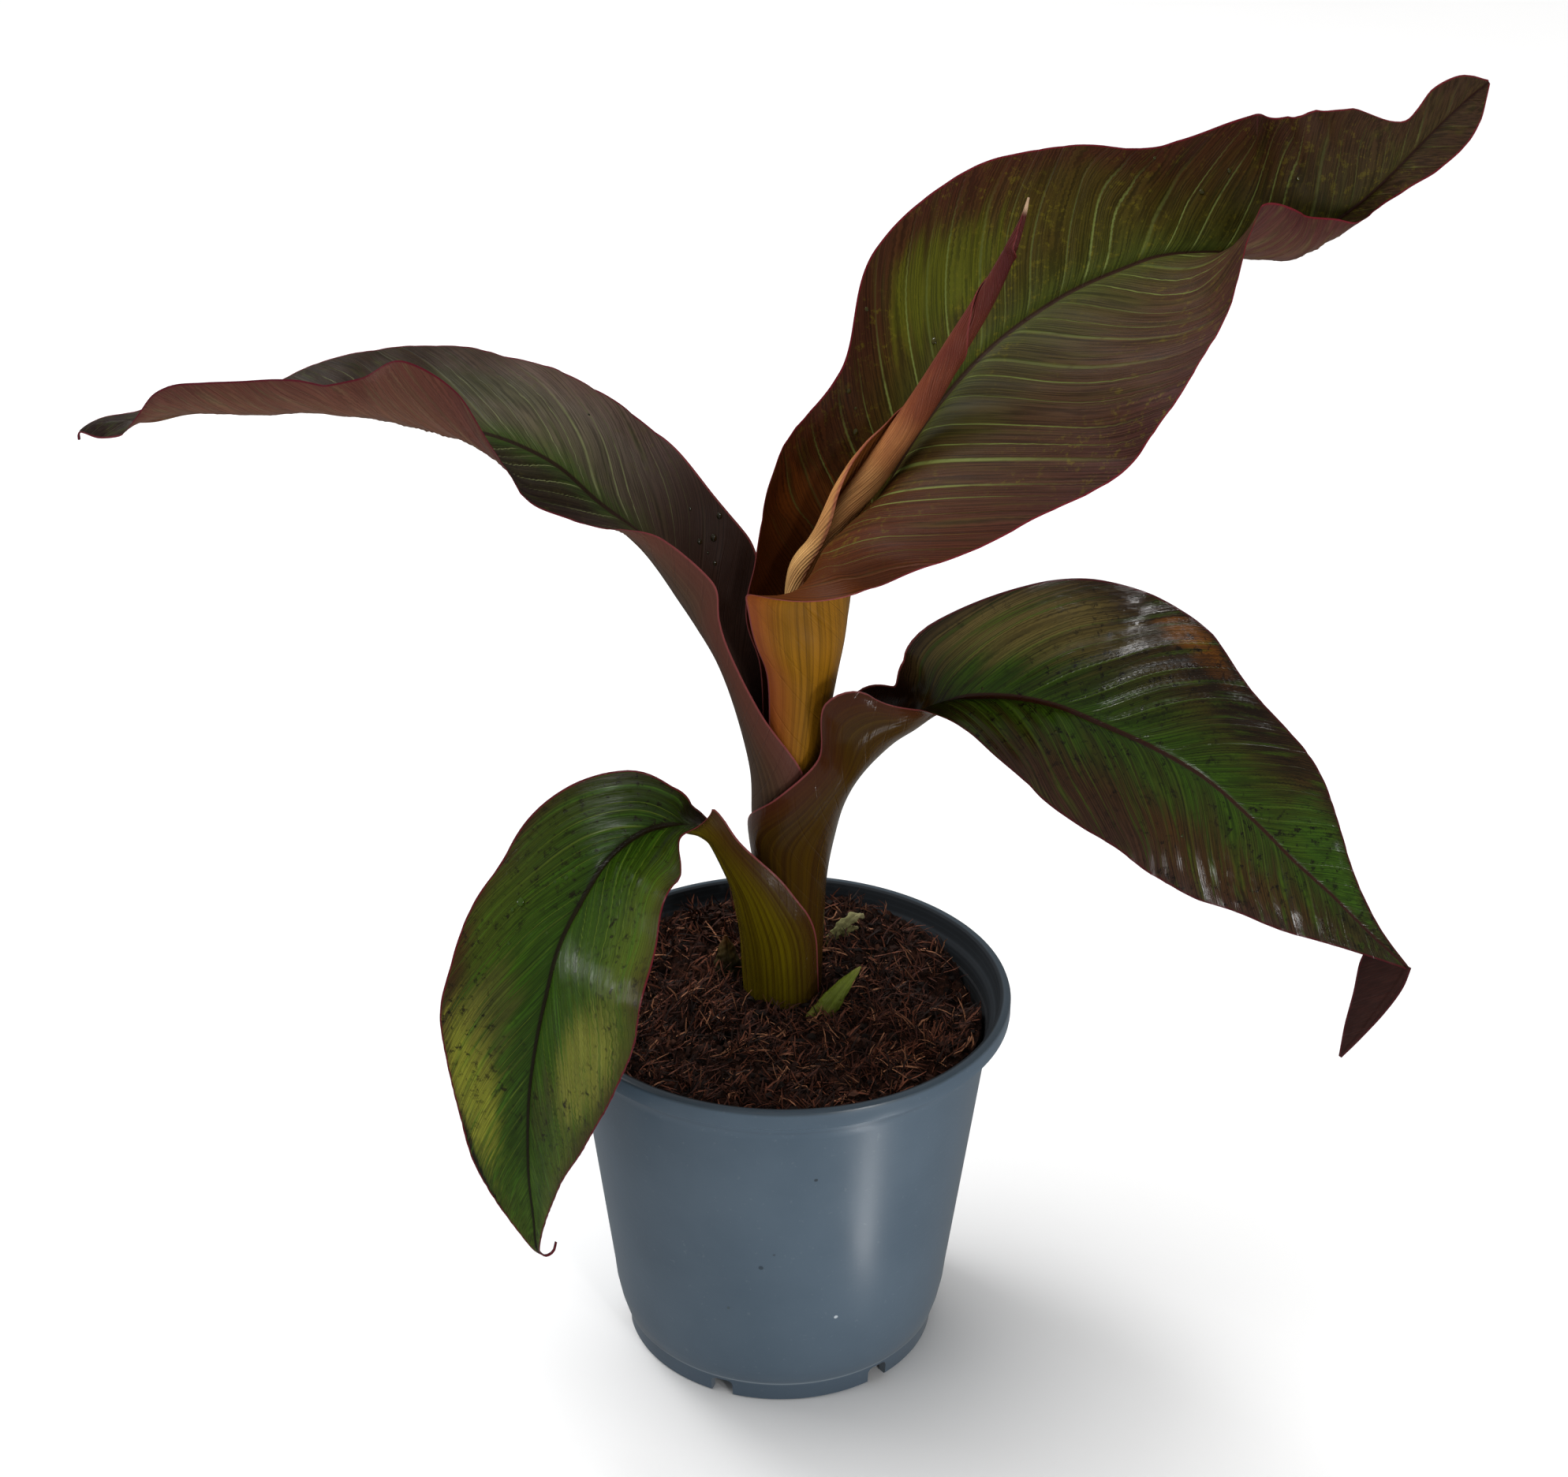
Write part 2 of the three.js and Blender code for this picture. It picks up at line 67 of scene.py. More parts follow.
# The soil's size and grid, and how much is strewn on it
SOIL_HEIGHT, SOIL_RADIUS = 104.0, 57.2
SOIL_RINGS, SOIL_SPOKES = 130, 400
SOIL_SKIRT = [(57.2, 92.0), (47.5, 22.0), (42.8, 7.9)]
SOIL_TONES = [(0.3, (14, 8, 6)), (0.5, (34, 19, 13)), (0.62, (58, 33, 23)), (0.75, (88, 54, 37))]
STREWN_RADIUS, STRAND_LIMIT = 55.5, 56.6
LUMPS, TUFTS, TUFT_STRANDS, ROOTS, CRUMBS = 1000, 300, 16, 120, 1500
LUMP_LOW, LUMP_HIGH = (-58, -58, 1.4, 0.8), (58, 58, 5.0, 3.0)


def srgb(red, green, blue):
    """A colour from the usual 0 to 255 values."""
    parts = (red / 255, green / 255, blue / 255)
    return tuple(p / 12.92 if p <= 0.04045 else ((p + 0.055) / 1.055) ** 2.4 for p in parts)


def dimmed(tone, share):
    return tuple(share * part for part in srgb(*tone))


# Shader building

class Shader:
    """A material with a Principled surface, and short names for the nodes that feed it."""

    def __init__(self, name, specular=0.5):
        self.material = bpy.data.materials.new(name)
        self.material.use_nodes = True
        self.tree = self.material.node_tree
        self.surface = self.tree.nodes["Principled BSDF"]
        self.surface.inputs["Specular IOR Level"].default_value = specular

    def feed(self, socket, value):
        if isinstance(value, bpy.types.NodeSocket):
            self.tree.links.new(value, socket)
        elif isinstance(value, tuple) and len(value) == 3 and socket.type == "RGBA":
            socket.default_value = (*value, 1.0)
        else:
            socket.default_value = value

    def node(self, kind, inputs=(), **settings):
        made = self.tree.nodes.new(kind)
        for name, value in settings.items():
            setattr(made, name, value)
        for key, value in dict(inputs).items():
            self.feed(made.inputs[key], value)
        return made

    def attribute(self, name):
        return self.node("ShaderNodeAttribute", attribute_name=name).outputs["Fac"]

    def math(self, operation, a, b=0.0, clamp=False):
        made = self.node("ShaderNodeMath", {0: a, 1: b}, operation=operation, use_clamp=clamp)
        return made.outputs[0]

    def mul(self, a, b):
        return self.math("MULTIPLY", a, b)

    def add(self, a, b, clamp=False):
        return self.math("ADD", a, b, clamp)

    def sub(self, a, b):
        return self.math("SUBTRACT", a, b)

    def mix(self, share, a, b):
        return self.node("ShaderNodeMix", {0: share, 6: a, 7: b}, data_type="RGBA").outputs[2]

    def tint(self, colour, share, tone, amount):
        """The colour, with an amount of another tone laid over a share of it."""
        return self.mix(self.mul(share, amount), colour, srgb(*tone))

    def step(self, value, low, high):
        """0 below low, 1 above high and smooth between; low may be the larger."""
        inputs = {0: value, 1: low, 2: high, 3: 0.0, 4: 1.0}
        return self.node("ShaderNodeMapRange", inputs, interpolation_type="SMOOTHSTEP").outputs[0]

    def ramp(self, value, stops):
        made = self.node("ShaderNodeValToRGB", {0: value})
        elements = made.color_ramp.elements
        while len(elements) < len(stops):
            elements.new(0.5)
        for element, (place, colour) in zip(elements, stops):
            element.position = place
            element.color = (*srgb(*colour), 1.0)
        return made.outputs[0]

    def vector(self, x, y, z=0.0):
        return self.node("ShaderNodeCombineXYZ", {0: x, 1: y, 2: z}).outputs[0]

    def place(self):
        return self.node("ShaderNodeTexCoord").outputs["Object"]

    def noise(self, scale, vector=None, detail=3.0, roughness=0.55):
        inputs = {"Scale": scale, "Detail": detail, "Roughness": roughness}
        inputs["Vector"] = self.place() if vector is None else vector
        return self.node("ShaderNodeTexNoise", inputs).outputs["Fac"]

    def streaks(self, x, fine, y, coarse, seed=0.0, detail=3.0):
        """Noise over two fields, drawn out along the one with the coarser scale."""
        return self.noise(1.0, self.vector(self.mul(x, fine), self.mul(y, coarse), seed), detail)

    def finish(self, colour, rough, relief=None, depth=0.0, strength=1.0):
        """The material with its colour, its roughness and the relief of its surface."""
        sockets = self.surface.inputs
        self.feed(sockets["Base Color"], colour)
        self.feed(sockets["Roughness"], rough)
        if relief is not None:
            bump = {"Height": relief, "Distance": depth, "Strength": strength}
            self.feed(sockets["Normal"], self.node("ShaderNodeBump", bump).outputs[0])
        return self.material


# Mesh building

def add_piece(name, points, faces, nodes=(), materials=(), fields=None, uvs=None, kinds=None):
    """A smooth mesh piece from points in millimetres, riding on the plant's one body. Fields
    hold values at the points, and kinds say which of the materials each face has."""
    mesh = bpy.data.meshes.new(name)
    faces = faces if isinstance(faces, list) else faces.tolist()
    mesh.from_pydata((np.asarray(points) * MM).tolist(), [], faces)
    for field, values in (fields or {}).items():
        layer = mesh.attributes.new(field, "FLOAT", "POINT")
        layer.data.foreach_set("value", np.asarray(values, dtype=np.float32).ravel())
    if uvs is not None:
        layer = mesh.uv_layers.new(name="OFBake")
        layer.uv.foreach_set("vector", np.asarray(uvs, dtype=np.float32).ravel())
    for material in materials:
        mesh.materials.append(material)
    if kinds is not None:
        mesh.polygons.foreach_set("material_index", np.asarray(kinds, dtype=np.int32))
    smooth_faces(mesh, CREASE)
    piece = add_object(name, mesh)
    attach(piece, "root")
    if nodes:
        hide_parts(*nodes)
    return piece


def add_object(name, data):
    made = bpy.data.objects.new(name, data)
    bpy.context.scene.collection.objects.link(made)
    return made


def smooth_faces(mesh, sharpest):
    """Smooth shading, with a crease wherever faces meet at more than an angle in degrees."""
    mesh.polygons.foreach_set("use_smooth", np.ones(len(mesh.polygons), dtype=bool))
    mesh.update()
    mesh.set_sharp_from_angle(angle=math.radians(sharpest))


def unit(vectors):
    return vectors / np.maximum(np.linalg.norm(vectors, axis=-1, keepdims=True), 1e-9)


def smooth_rows(rows, places):
    """Values at places between rows, on a smooth curve through them."""
    last = len(rows) - 1
    held = np.clip(places, 0, last - 1e-9)
    i = held.astype(int)
    f = (held - i)[:, None]
    leave = (rows[i + 1] - rows[np.maximum(i - 1, 0)]) / 2
    arrive = (rows[np.minimum(i + 2, last)] - rows[i]) / 2
    blend = f * f * (3 - 2 * f)
    return rows[i] + blend * (rows[i + 1] - rows[i]) + f * (1 - f) * ((1 - f) * leave - f * arrive)


def smoothstep(value, low, high):
    share = np.clip((value - low) / (high - low), 0, 1)
    return share * share * (3 - 2 * share)


def ball(subdivisions):
    """The points and triangles of a round ball, to be shaped into many small things."""
    template = bmesh.new()
    bmesh.ops.create_icosphere(template, subdivisions=subdivisions, radius=1.0)
    template.verts.ensure_lookup_table()
    base = np.array([v.co for v in template.verts])
    corners = np.array([[v.index for v in f.verts] for f in template.faces])
    template.free()
    return base, corners


def join_copies(shapes, corners):
    """The points and triangles of many copies of one mesh, each with a shape of its own."""
    starts = np.arange(len(shapes)) * shapes.shape[1]
    return shapes.reshape(-1, 3), (corners[None] + starts[:, None, None]).reshape(-1, 3)


def tube_quads(rings):
    """Quads between neighbouring rings of point numbers. The last axis runs round a ring."""
    after = np.roll(rings, -1, axis=-1)
    corners = [rings[..., :-1, :], after[..., :-1, :], after[..., 1:, :], rings[..., 1:, :]]
    return np.stack(corners, -1).reshape(-1, 4)


def sheet_faces(rows, columns):
    """Quads and UVs of a thin closed sheet: the upper grid's points first, then the lower's."""
    upper = np.arange(rows * columns).reshape(rows, columns)
    lower = upper + rows * columns
    across = np.linspace(SEAM, 0.5 - SEAM, columns)
    along = np.linspace(SEAM, 1 - SEAM, rows)
    faces, uvs = [], []

    def add(corners, u, v):
        faces.append(np.stack(corners, -1).reshape(-1, 4))
        pairs = [np.stack(np.broadcast_arrays(*pair), -1) for pair in zip(u, v)]
        uvs.append(np.stack(pairs, -2).reshape(-1, 4, 2))

    u0, u1 = across[None, :-1], across[None, 1:]
    v0, v1 = along[:-1, None], along[1:, None]
    add((upper[:-1, :-1], upper[:-1, 1:], upper[1:, 1:], upper[1:, :-1]),
        (u0, u1, u1, u0), (v0, v0, v1, v1))
    add((lower[:-1, :-1], lower[1:, :-1], lower[1:, 1:], lower[:-1, 1:]),
        (1 - u0, 1 - u0, 1 - u1, 1 - u1), (v0, v1, v1, v0))
    v0, v1 = along[:-1], along[1:]
    add((upper[:-1, 0], upper[1:, 0], lower[1:, 0], lower[:-1, 0]),
        (SEAM, SEAM, 0.0, 0.0), (v0, v1, v1, v0))
    add((upper[:-1, -1], lower[:-1, -1], lower[1:, -1], upper[1:, -1]),
        (0.5 - SEAM, 0.5 + SEAM, 0.5 + SEAM, 0.5 - SEAM), (v0, v0, v1, v1))
    u0, u1 = across[:-1], across[1:]
    add((upper[0, :-1], lower[0, :-1], lower[0, 1:], upper[0, 1:]),
        (u0, u0, u1, u1), (SEAM, 0.0, 0.0, SEAM))
    add((upper[-1, :-1], upper[-1, 1:], lower[-1, 1:], lower[-1, :-1]),
        (u0, u1, u1, u0), (1 - SEAM, 1 - SEAM, 1.0, 1.0))
    return np.concatenate(faces), np.concatenate(uvs)


def add_sheet(name, sides, fields, nodes, material, flip=False):
    """A thin closed sheet between two grids of points, with the same fields on both. One more
    field, front, is 1 on the first grid alone, or on the second where the sheet is flipped."""
    grid = sides[0].shape[:2]
    fields = {field: np.tile(np.broadcast_to(values, grid).ravel(), 2)
              for field, values in fields.items()}
    fields["front"] = np.repeat([0.0, 1.0] if flip else [1.0, 0.0], grid[0] * grid[1])
    faces, uvs = sheet_faces(*grid)
    if flip:
        faces, uvs = faces[:, ::-1], uvs[:, ::-1]
    add_piece(name, np.stack(sides).reshape(-1, 3), faces, nodes, [material], fields, uvs)


# Leaves

# Each leaf lies along one heading, in degrees round the stem from +X. A section is [reach
# from the stem's axis, height, width, fold and curl of the left half, width, fold and curl of
# the right half]; one of five numbers has both halves alike. Fold is the slope beside the midrib
# and curl the slope at the margin, in degrees above the level of the leaf's own face. Split is
# the section where the blade begins, keel how much thicker the sheath is in its middle, and rib
# the midrib's size. Pitch is the distance between main veins, sweep how far they lean towards
# the tip, pleat how deep the blade is folded between them, and flatten how much of that is lost
# past its middle. A ruffle is (side, section, spread, degrees, where it starts), and a drop is
# (section, place across, size).
LEAVES = {}
LEAVES["leaf_a"] = dict(
    nodes=["leaf_a_stalk", "leaf_a_blade"],
    heading=222, split=9, keel=3.4, rib=1.3, pitch=6.5, sweep=1.9, pleat=0.65,
    sections=[
        [11.6, 100, 22, 0, 105, 25, 0, 125], [12, 104, 22, 0, 105, 25, 0, 125],
        [12.6, 113, 22, 2, 105, 25, 0, 120], [14, 123, 22, 5, 100, 22, 5, 105],
        [16, 132, 20, 5, 92, 18, 5, 95], [18, 140, 16, 5, 90, 15, 5, 90],
        [22, 149, 11.5, 10, 95, 11, 5, 90], [27, 159, 8.5, 5, 88, 9, 5, 85],
        [31, 163.5, 9.5, 12, 100, 8.5, 12, 92], [35, 166.5, 10.5, 20, 110, 9, 20, 100],
        [42, 171, 6, -5, -5, 11, 50, 110], [52, 172, 17, -8, -8, 19, 60, 85],
        [63, 168, 29, 8, 8, 23, 45, 58], [72, 159, 36.5, 8, 8, 25, 25, 30],
        [80, 148, 43, 12, 8, 28, 20, 24], [85, 134, 41, 8, 4, 28, 30, 34],
        [89, 120, 36, 8, 4, 28, 30, 34], [92, 103, 27, 8, 4, 22, 30, 34],
        [93, 82, 14, 5, 5, 17, 30, 30], [92, 66, 5.5, 5, 5, 9, 30, 30],
        [91.5, 56, 1.8, 5, 5, 2.4, 30, 30], [90, 52.4, 0.7, 5, 5, 0.7, 20, 20],
        [88, 50.8, 0.45, 0, 0], [85.6, 51.3, 0.4, 0, 0], [84.6, 54, 0.35, 0, 0],
    ],
    drops=[
        (13.57, -0.58, 1.0), (13.75, -0.6, 0.5), (12.77, -0.28, 0.6), (12.58, -0.24, 0.5),
        (12.98, -0.36, 0.5), (14.35, -0.51, 0.4), (13.83, -0.18, 0.4),
    ],
)
LEAVES["leaf_b"] = dict(
    nodes=["leaf_b_stalk", "leaf_b_blade"],
    heading=-15, split=9, keel=4.5, rib=1.7, pitch=8.0, sweep=1.1, pleat=0.7,
    sections=[
        [10.9, 100, 30, 0, 165], [10.9, 104, 30, 0, 165], [11.3, 125, 30, 0, 165],
        [12, 141, 30.5, 0, 165], [14, 154, 32, 0, 155, 35, 0, 160], [17, 166, 24, 0, 110],
        [22, 176, 18, 0, 115], [30, 186, 20, 20, 105, 28, 15, 115],
        [37, 192, 15, 20, 105, 20, 15, 110], [43, 198, 18, 50, 110, 10, 10, 50],
        [50, 203, 24, 60, 110, 11, -10, -45], [62, 205, 30, 50, 95, 19, -33, -43],
        [75, 204, 36, 45, 75, 25, -33, -42], [88, 200, 38, 45, 62, 29, -32, -44],
        [102, 195, 36, 40, 55, 31, -32, -44], [116, 188, 28, 35, 48, 32, -34, -44],
        [130, 177, 26, 35, 45, 28, -38, -46], [141, 167, 20, 35, 45, 21, -38, -46],
        [152, 158, 10, 35, 45, 15, -38, -46], [163, 148, 4, 30, 40, 7, -38, -46],
        [174, 139, 0.6, 20, 20, 0.6, -30, -40],
    ],
    drops=[(12.2, -0.3, 0.4), (15.18, -0.58, 0.4), (10.38, 0.08, 0.35)],
)
LEAVES["leaf_b_tip"] = dict(
    nodes=["leaf_b_hanging_tip"],
    heading=-15, split=-9, keel=0, rib=0.3, pitch=8.0, sweep=1.1, pleat=0.1,
    sections=[
        [174, 139.5, 12, -85, -85, 1, 85, 85], [171.5, 133, 11.5, -90, -85, 2, 85, 85],
        [167.5, 124.5, 8, -90, -85, 2, 85, 85], [163, 115, 4.5, -90, -85, 1, 85, 85],
        [159, 108, 0.5, -90, -85, 0.5, 85, 85],
    ],
)
LEAVES["leaf_c"] = dict(
    nodes=["leaf_c_stalk", "leaf_c_blade", "leaf_c_blade_end"],
    heading=170, split=8, keel=4, rib=1.9, pitch=7.0, sweep=1.0, pleat=0.9, flatten=0.7,
    sections=[
        [8.3, 100, 24, 0, 165], [8.3, 142, 24, 0, 165], [9.5, 159, 25, 0, 150],
        [10, 174, 23, 0, 132, 22, 0, 130], [14, 191, 14, 0, 100, 17, 0, 95],
        [19, 205, 10, 0, 95, 20, 0, 100], [25, 215, 13, 15, 90, 26, 5, 105],
        [31, 224, 19, 20, 100, 28, 20, 90], [40, 238, 16, 10, 80, 27, 20, 65],
        [51, 249, 15, -5, 5, 34, 12, 35], [62, 259, 23, -8, -5, 36, 12, 18],
        [74, 265, 25, -20, 40, 39, 10, 15], [86, 268, 32, -15, 95, 41, 8, 12],
        [102, 270, 34, -10, 115, 41, 8, 12], [113, 271, 23, -12, 105, 38, 8, 14],
        [122, 271, 20, -12, 95, 35, 6, 15], [130, 271.5, 22, -12, 93, 30, 4, 16],
        [143, 269.5, 20, -12, 105, 23, 0, 16], [156, 269, 19, -12, 100, 17, -10, 10],
        [167, 267.5, 15, -5, 102, 12, -5, 30], [177, 264.5, 8, 5, 70, 7, 5, 40],
        [185, 264, 6.5, -35, -20, 6.5, -20, 20], [194, 262.5, 5.2, -42, -40, 3.5, -10, 10],
        [199.5, 259.5, 1.0, -20, -20, 1.0, 0, 0], [200, 257, 0.5, 0, 0],
    ],
    drops=[
        (7.43, -0.72, 0.9), (7.52, -0.58, 0.7), (7.62, -0.92, 0.8), (7.05, -0.56, 0.6),
        (7.9, -0.7, 0.4), (7.28, -0.57, 0.35), (10.17, -0.71, 0.45),
    ],
)
LEAVES["leaf_d"] = dict(
    nodes=["leaf_d_stalk", "leaf_d_blade", "leaf_d_blade_end"],
    heading=22, split=7, keel=2.6, rib=2.1, pitch=8.5, sweep=0.75, pleat=0.55,
    sections=[
        [7, 100, 19.5, 0, 165], [7, 142, 19.5, 0, 165], [8, 159, 21, 0, 165],
        [10.2, 179, 24, 0, 165], [14, 202, 29, 0, 155, 31, 0, 165],
        [16, 215, 36, 0, 148, 41, 0, 165], [19, 227, 37, 0, 148, 41, 20, 165],
        [22, 238, 37, 2, 142, 49.5, 72, -10], [26, 249, 38, 5, 135, 57, 48, -28],
        [38, 270, 29, 10, 80, 56, 0, -24], [56, 289, 46, 20, 48, 62, -20, -15],
        [78, 302, 47, 30, 45, 62, -15, 0], [100, 309, 42, 30, 45, 52, -15, 20],
        [110, 310.5, 34.5, 32, 52, 44, -8, 45], [121, 310, 34, 35, 60, 35, 0, 75],
        [142, 308.5, 37.5, 60, 92, 27, -25, 108], [157, 312.5, 35, 80, 96, 17, -25, 85],
        [169, 319, 33, 90, 98, 6, -30, 0], [178, 326, 28, 98, 103, 6, -60, -60],
        [186, 333, 12, 103, 105, 9, -75, -75], [194, 340, 13, 105, 105, 10, -80, -80],
        [201, 345.5, 9, 105, 105, 7, -80, -80], [207, 349.5, 0.6, 105, 105, 0.6, -80, -80],
    ],
    ruffles=[(-1, 6.2, 0.7, 90, 0.3)],
    drops=[
        (8.62, 0.53, 0.75), (8.9, 0.82, 0.6), (9.75, 0.35, 0.8), (9.58, 0.92, 0.55), (14.22, 0.52, 0.8),
        (14.55, 0.64, 0.65), (15.87, 0.47, 0.6), (13.47, 0.92, 0.5), (8.78, 0.67, 0.4),
        (8.4, 0.08, 0.4),
    ],
)


def even_places(rows, step):
    """Places along the rows that lie a step apart, and how far along each one is."""
    fine = np.linspace(0, len(rows) - 1, 2001)
    line = smooth_rows(rows[:, :2], fine)
    length = np.concatenate([[0], np.cumsum(np.hypot(*np.diff(line, axis=0).T))])
    far = np.linspace(0, length[-1], int(length[-1] / step) + 1)
    return np.interp(far, length, fine), far


def out_from_rib(rate, share):
    """The sum of a rate over the way out from the midrib, for both halves."""
    middle = len(share) // 2
    step = np.abs(np.diff(share))
    parts = (rate[:, 1:] + rate[:, :-1]) / 2 * step
    left = np.cumsum(parts[:, middle - 1::-1], axis=1)[:, ::-1]
    right = np.cumsum(parts[:, middle:], axis=1)
    return np.concatenate([left, np.zeros((len(rate), 1)), right], axis=1)


def leaf_line(rows, step, heading):
    """Rows a step apart on the smooth line of reach and height that they start with: their
    values, places and distances, the line's points, and the directions left and up from it."""
    places, far = even_places(rows, step)
    row = smooth_rows(rows, places)
    run = unit(smooth_rows(rows[:, :2], places + 0.02) - smooth_rows(rows[:, :2], places - 0.02))
    angle = math.radians(heading)
    out = np.array([math.cos(angle), math.sin(angle), 0.0])
    left = np.array([-math.sin(angle), math.cos(angle), 0.0])
    origin = np.array([*STEM, 0.0]) + row[:, :1] * out + row[:, 1:2] * UP
    face = run[:, :1] * UP - run[:, 1:2] * out
    return row, places, far, origin, left, face


def make_leaf(name, leaf, material):
    rows = [section + section[2:] * (len(section) == 5) for section in leaf["sections"]]
    rows = np.array(rows, dtype=float)
    row, places, far, origin, left, face = leaf_line(rows, ROW_STEP, leaf["heading"])
    half = np.append(0.985 * np.linspace(0, 1, HALF_COLUMNS) ** 1.35, [0.993, 1.0])
    share = np.concatenate([half[:0:-1], half])
    side = np.concatenate([np.ones(len(half) - 1), -np.ones(len(half))])
    width, fold, curl = (np.where(side > 0, row[:, i:i + 1], row[:, i + 3:i + 4]) for i in (2, 3, 4))
    width = np.maximum(width, LEAST_WIDTH)
    fold = np.radians(fold)
    slope = fold + (np.radians(curl) - fold) * share
    for ruffle_side, place, spread, amount, start in leaf.get("ruffles", ()):
        swell = np.exp(-(((places - place) / spread) ** 2))[:, None] * smoothstep(share, start, 1)
        slope = slope - np.radians(amount) * swell * (side == ruffle_side)
    x = width * out_from_rib(np.cos(slope), share) * side
    y = width * out_from_rib(np.sin(slope), share)
    nx = -np.sin(slope) * side
    ny = np.cos(slope)
    middle = len(half) - 1
    for part in (nx, ny):
        part[:, middle] = (part[:, middle - 1] + part[:, middle + 1]) / 2
    point = origin[:, None] + x[..., None] * left + y[..., None] * face[:, None]
    normal = unit(nx[..., None] * left + ny[..., None] * face[:, None])

    from_rib = width * share
    to_edge = width * (1 - share)
    blade = smoothstep(places, leaf["split"] - 1.0, leaf["split"] + 1.5)[:, None]
    start = np.interp(leaf["split"], places, far)
    along = np.clip((far - start) / (far[-1] - start), 0, 1)[:, None]
    lean = 4 * (1 - np.exp(-from_rib / 4)) + leaf["sweep"] * from_rib * (0.6 + 0.4 * share)
    vein = (far[:, None] - start - lean) / leaf["pitch"]
    vein = vein + 0.16 * np.sin(2.1 * vein + 1 + side) + 0.1 * np.sin(5.3 * vein + 2 * side)

    bulge = np.abs(np.sin(np.pi * vein)) ** 0.7
    inner = smoothstep(from_rib, 1.0, 7.0) * (0.45 + 0.55 * smoothstep(to_edge, 0.0, 8.0))
    kept = 1 - leaf.get("flatten", 0.0) * smoothstep(along, 0.3, 0.5)
    height = blade * leaf["pleat"] * inner * (bulge - 0.6) * kept
    ripple = np.sin(far[:, None] / 6.1 + 2 * side) + 0.6 * np.sin(far[:, None] / 3.3 + side)
    height = height + blade * 0.35 * smoothstep(share, 0.6, 1.0) * ripple * smoothstep(width, 3, 15)
    point = point + height[..., None] * normal

    edge = HALF_BLADE * (0.35 + 0.65 * smoothstep(to_edge, 0.0, 2.5))
    rib_size = leaf["rib"] * (1 - 0.75 * along)
    rib = rib_size * np.sqrt(np.clip(1 - (from_rib / (1.4 * rib_size + 0.4)) ** 2, 0, 1))
    groove = 0.45 * rib_size * np.exp(-((from_rib / (0.8 * rib_size + 0.2)) ** 2))
    wall = 0.45 + leaf["keel"] * np.exp(-((share / 0.42) ** 2))
    wall = wall * (0.45 + 0.55 * smoothstep(to_edge, 0.0, 3.0))
    furrow = 0.09 * np.abs(np.sin(SHEATH_FURROWS * np.pi * share)) * (1 - blade)
    upper = (1 - blade) * wall + blade * (edge - groove)
    lower = blade * (-edge - rib) - (1 - blade) * (0.05 - furrow)
    fields = {"across": side * share, "along": along, "far": far[:, None], "vein": vein,
              "from_rib": from_rib, "to_edge": to_edge, "blade": blade}
    sides = [point + upper[..., None] * normal, point + lower[..., None] * normal]
    add_sheet(name, sides, fields, leaf["nodes"], material)
    beads = []
    for place, out_to, size in leaf.get("drops", ()):
        i = np.abs(places - place).argmin()
        j = np.abs(side * share - out_to).argmin()
        beads.append((point[i, j] + upper[i, j] * normal[i, j], normal[i, j], size))
    if beads:
        make_drops(name, beads)


def make_drops(name, beads):
    """Water drops standing on a leaf, joined into one mesh."""
    base, corners = ball(3)
    shapes = []
    for centre, normal, size in beads:
        along = unit(np.cross(normal, [0.8, -0.6, 0.1]))
        axes = np.stack([1.25 * along, np.cross(normal, along), 0.5 * normal])
        shapes.append(centre + size * base @ axes)
    s = Shader(name + "_drops")
    # The drops are opaque: their colour, the leaf's tone mixed in a noise with a darker copy of it, is
    # painted light and shade standing in for the leaf seen through clear water.
    haze = s.noise(300.0)
    tone = LOOKS[name]["left"][1][1]
    material = s.finish(s.mix(haze, dimmed(tone, 0.6), srgb(*tone)), s.mul(haze, 0.12), haze, 0.00002)
    points, faces = join_copies(np.stack(shapes), corners)
    add_piece(name + "_drops", points, faces, (), [material])


# The looks of each leaf, as colours from the midrib out to the margin. Left and right are the
# upper side's halves, and under is the lower side. Tip and base are (colour, where it starts,
# where it is full), vein, flank, speckle and streak (colour, strength), and a patch (place
# along, place across, length, width, colour, strength). Lines is how dark the fine veins are,
# reach how far the flank's tone spreads from the midrib, and relief how deep the bumps are.
LOOKS = {}
LOOKS["leaf_a"] = dict(
    left=[(0.0, (46, 72, 9)), (0.45, (52, 76, 12)), (0.8, (74, 88, 20)), (1.0, (60, 48, 14))],
    right=[(0.0, (42, 66, 8)), (0.45, (50, 72, 10)), (0.85, (60, 72, 15)), (1.0, (60, 42, 16))],
    tip=((60, 74, 18), 0.85, 1.0), base=((26, 38, 8), 0.3, 0.0),
    under=[(0.0, (60, 56, 14)), (0.6, (54, 42, 18)), (1.0, (52, 26, 18))],
    stalk=((96, 84, 7), (66, 52, 6)), stalk_edge=(54, 26, 14), inside=(36, 30, 10),
    vein=((96, 112, 34), 0.55), midrib=(26, 15, 8), flank=((44, 74, 14), 0.35),
    edge=(84, 16, 26), speckle=((26, 20, 7), 0.9), streak=((64, 104, 14), 0.6),
    lines=0.25, roughness=0.2, specular=0.22, reach=9.0, relief=0.09,
    patches=[
        # The first patch, brighter green low on the leaf, is a painted highlight.
        (0.84, 0.1, 0.12, 0.4, (66, 94, 22), 0.55), (0.63, -0.7, 0.16, 0.34, (134, 136, 40), 0.8),
        (0.5, -0.5, 0.12, 0.3, (82, 74, 36), 0.45), (0.5, 0.6, 0.12, 0.34, (130, 128, 50), 0.65),
        (0.78, -0.97, 0.12, 0.1, (18, 11, 5), 0.9), (0.62, 0.25, 0.08, 0.22, (58, 54, 22), 0.5),
    ],
)
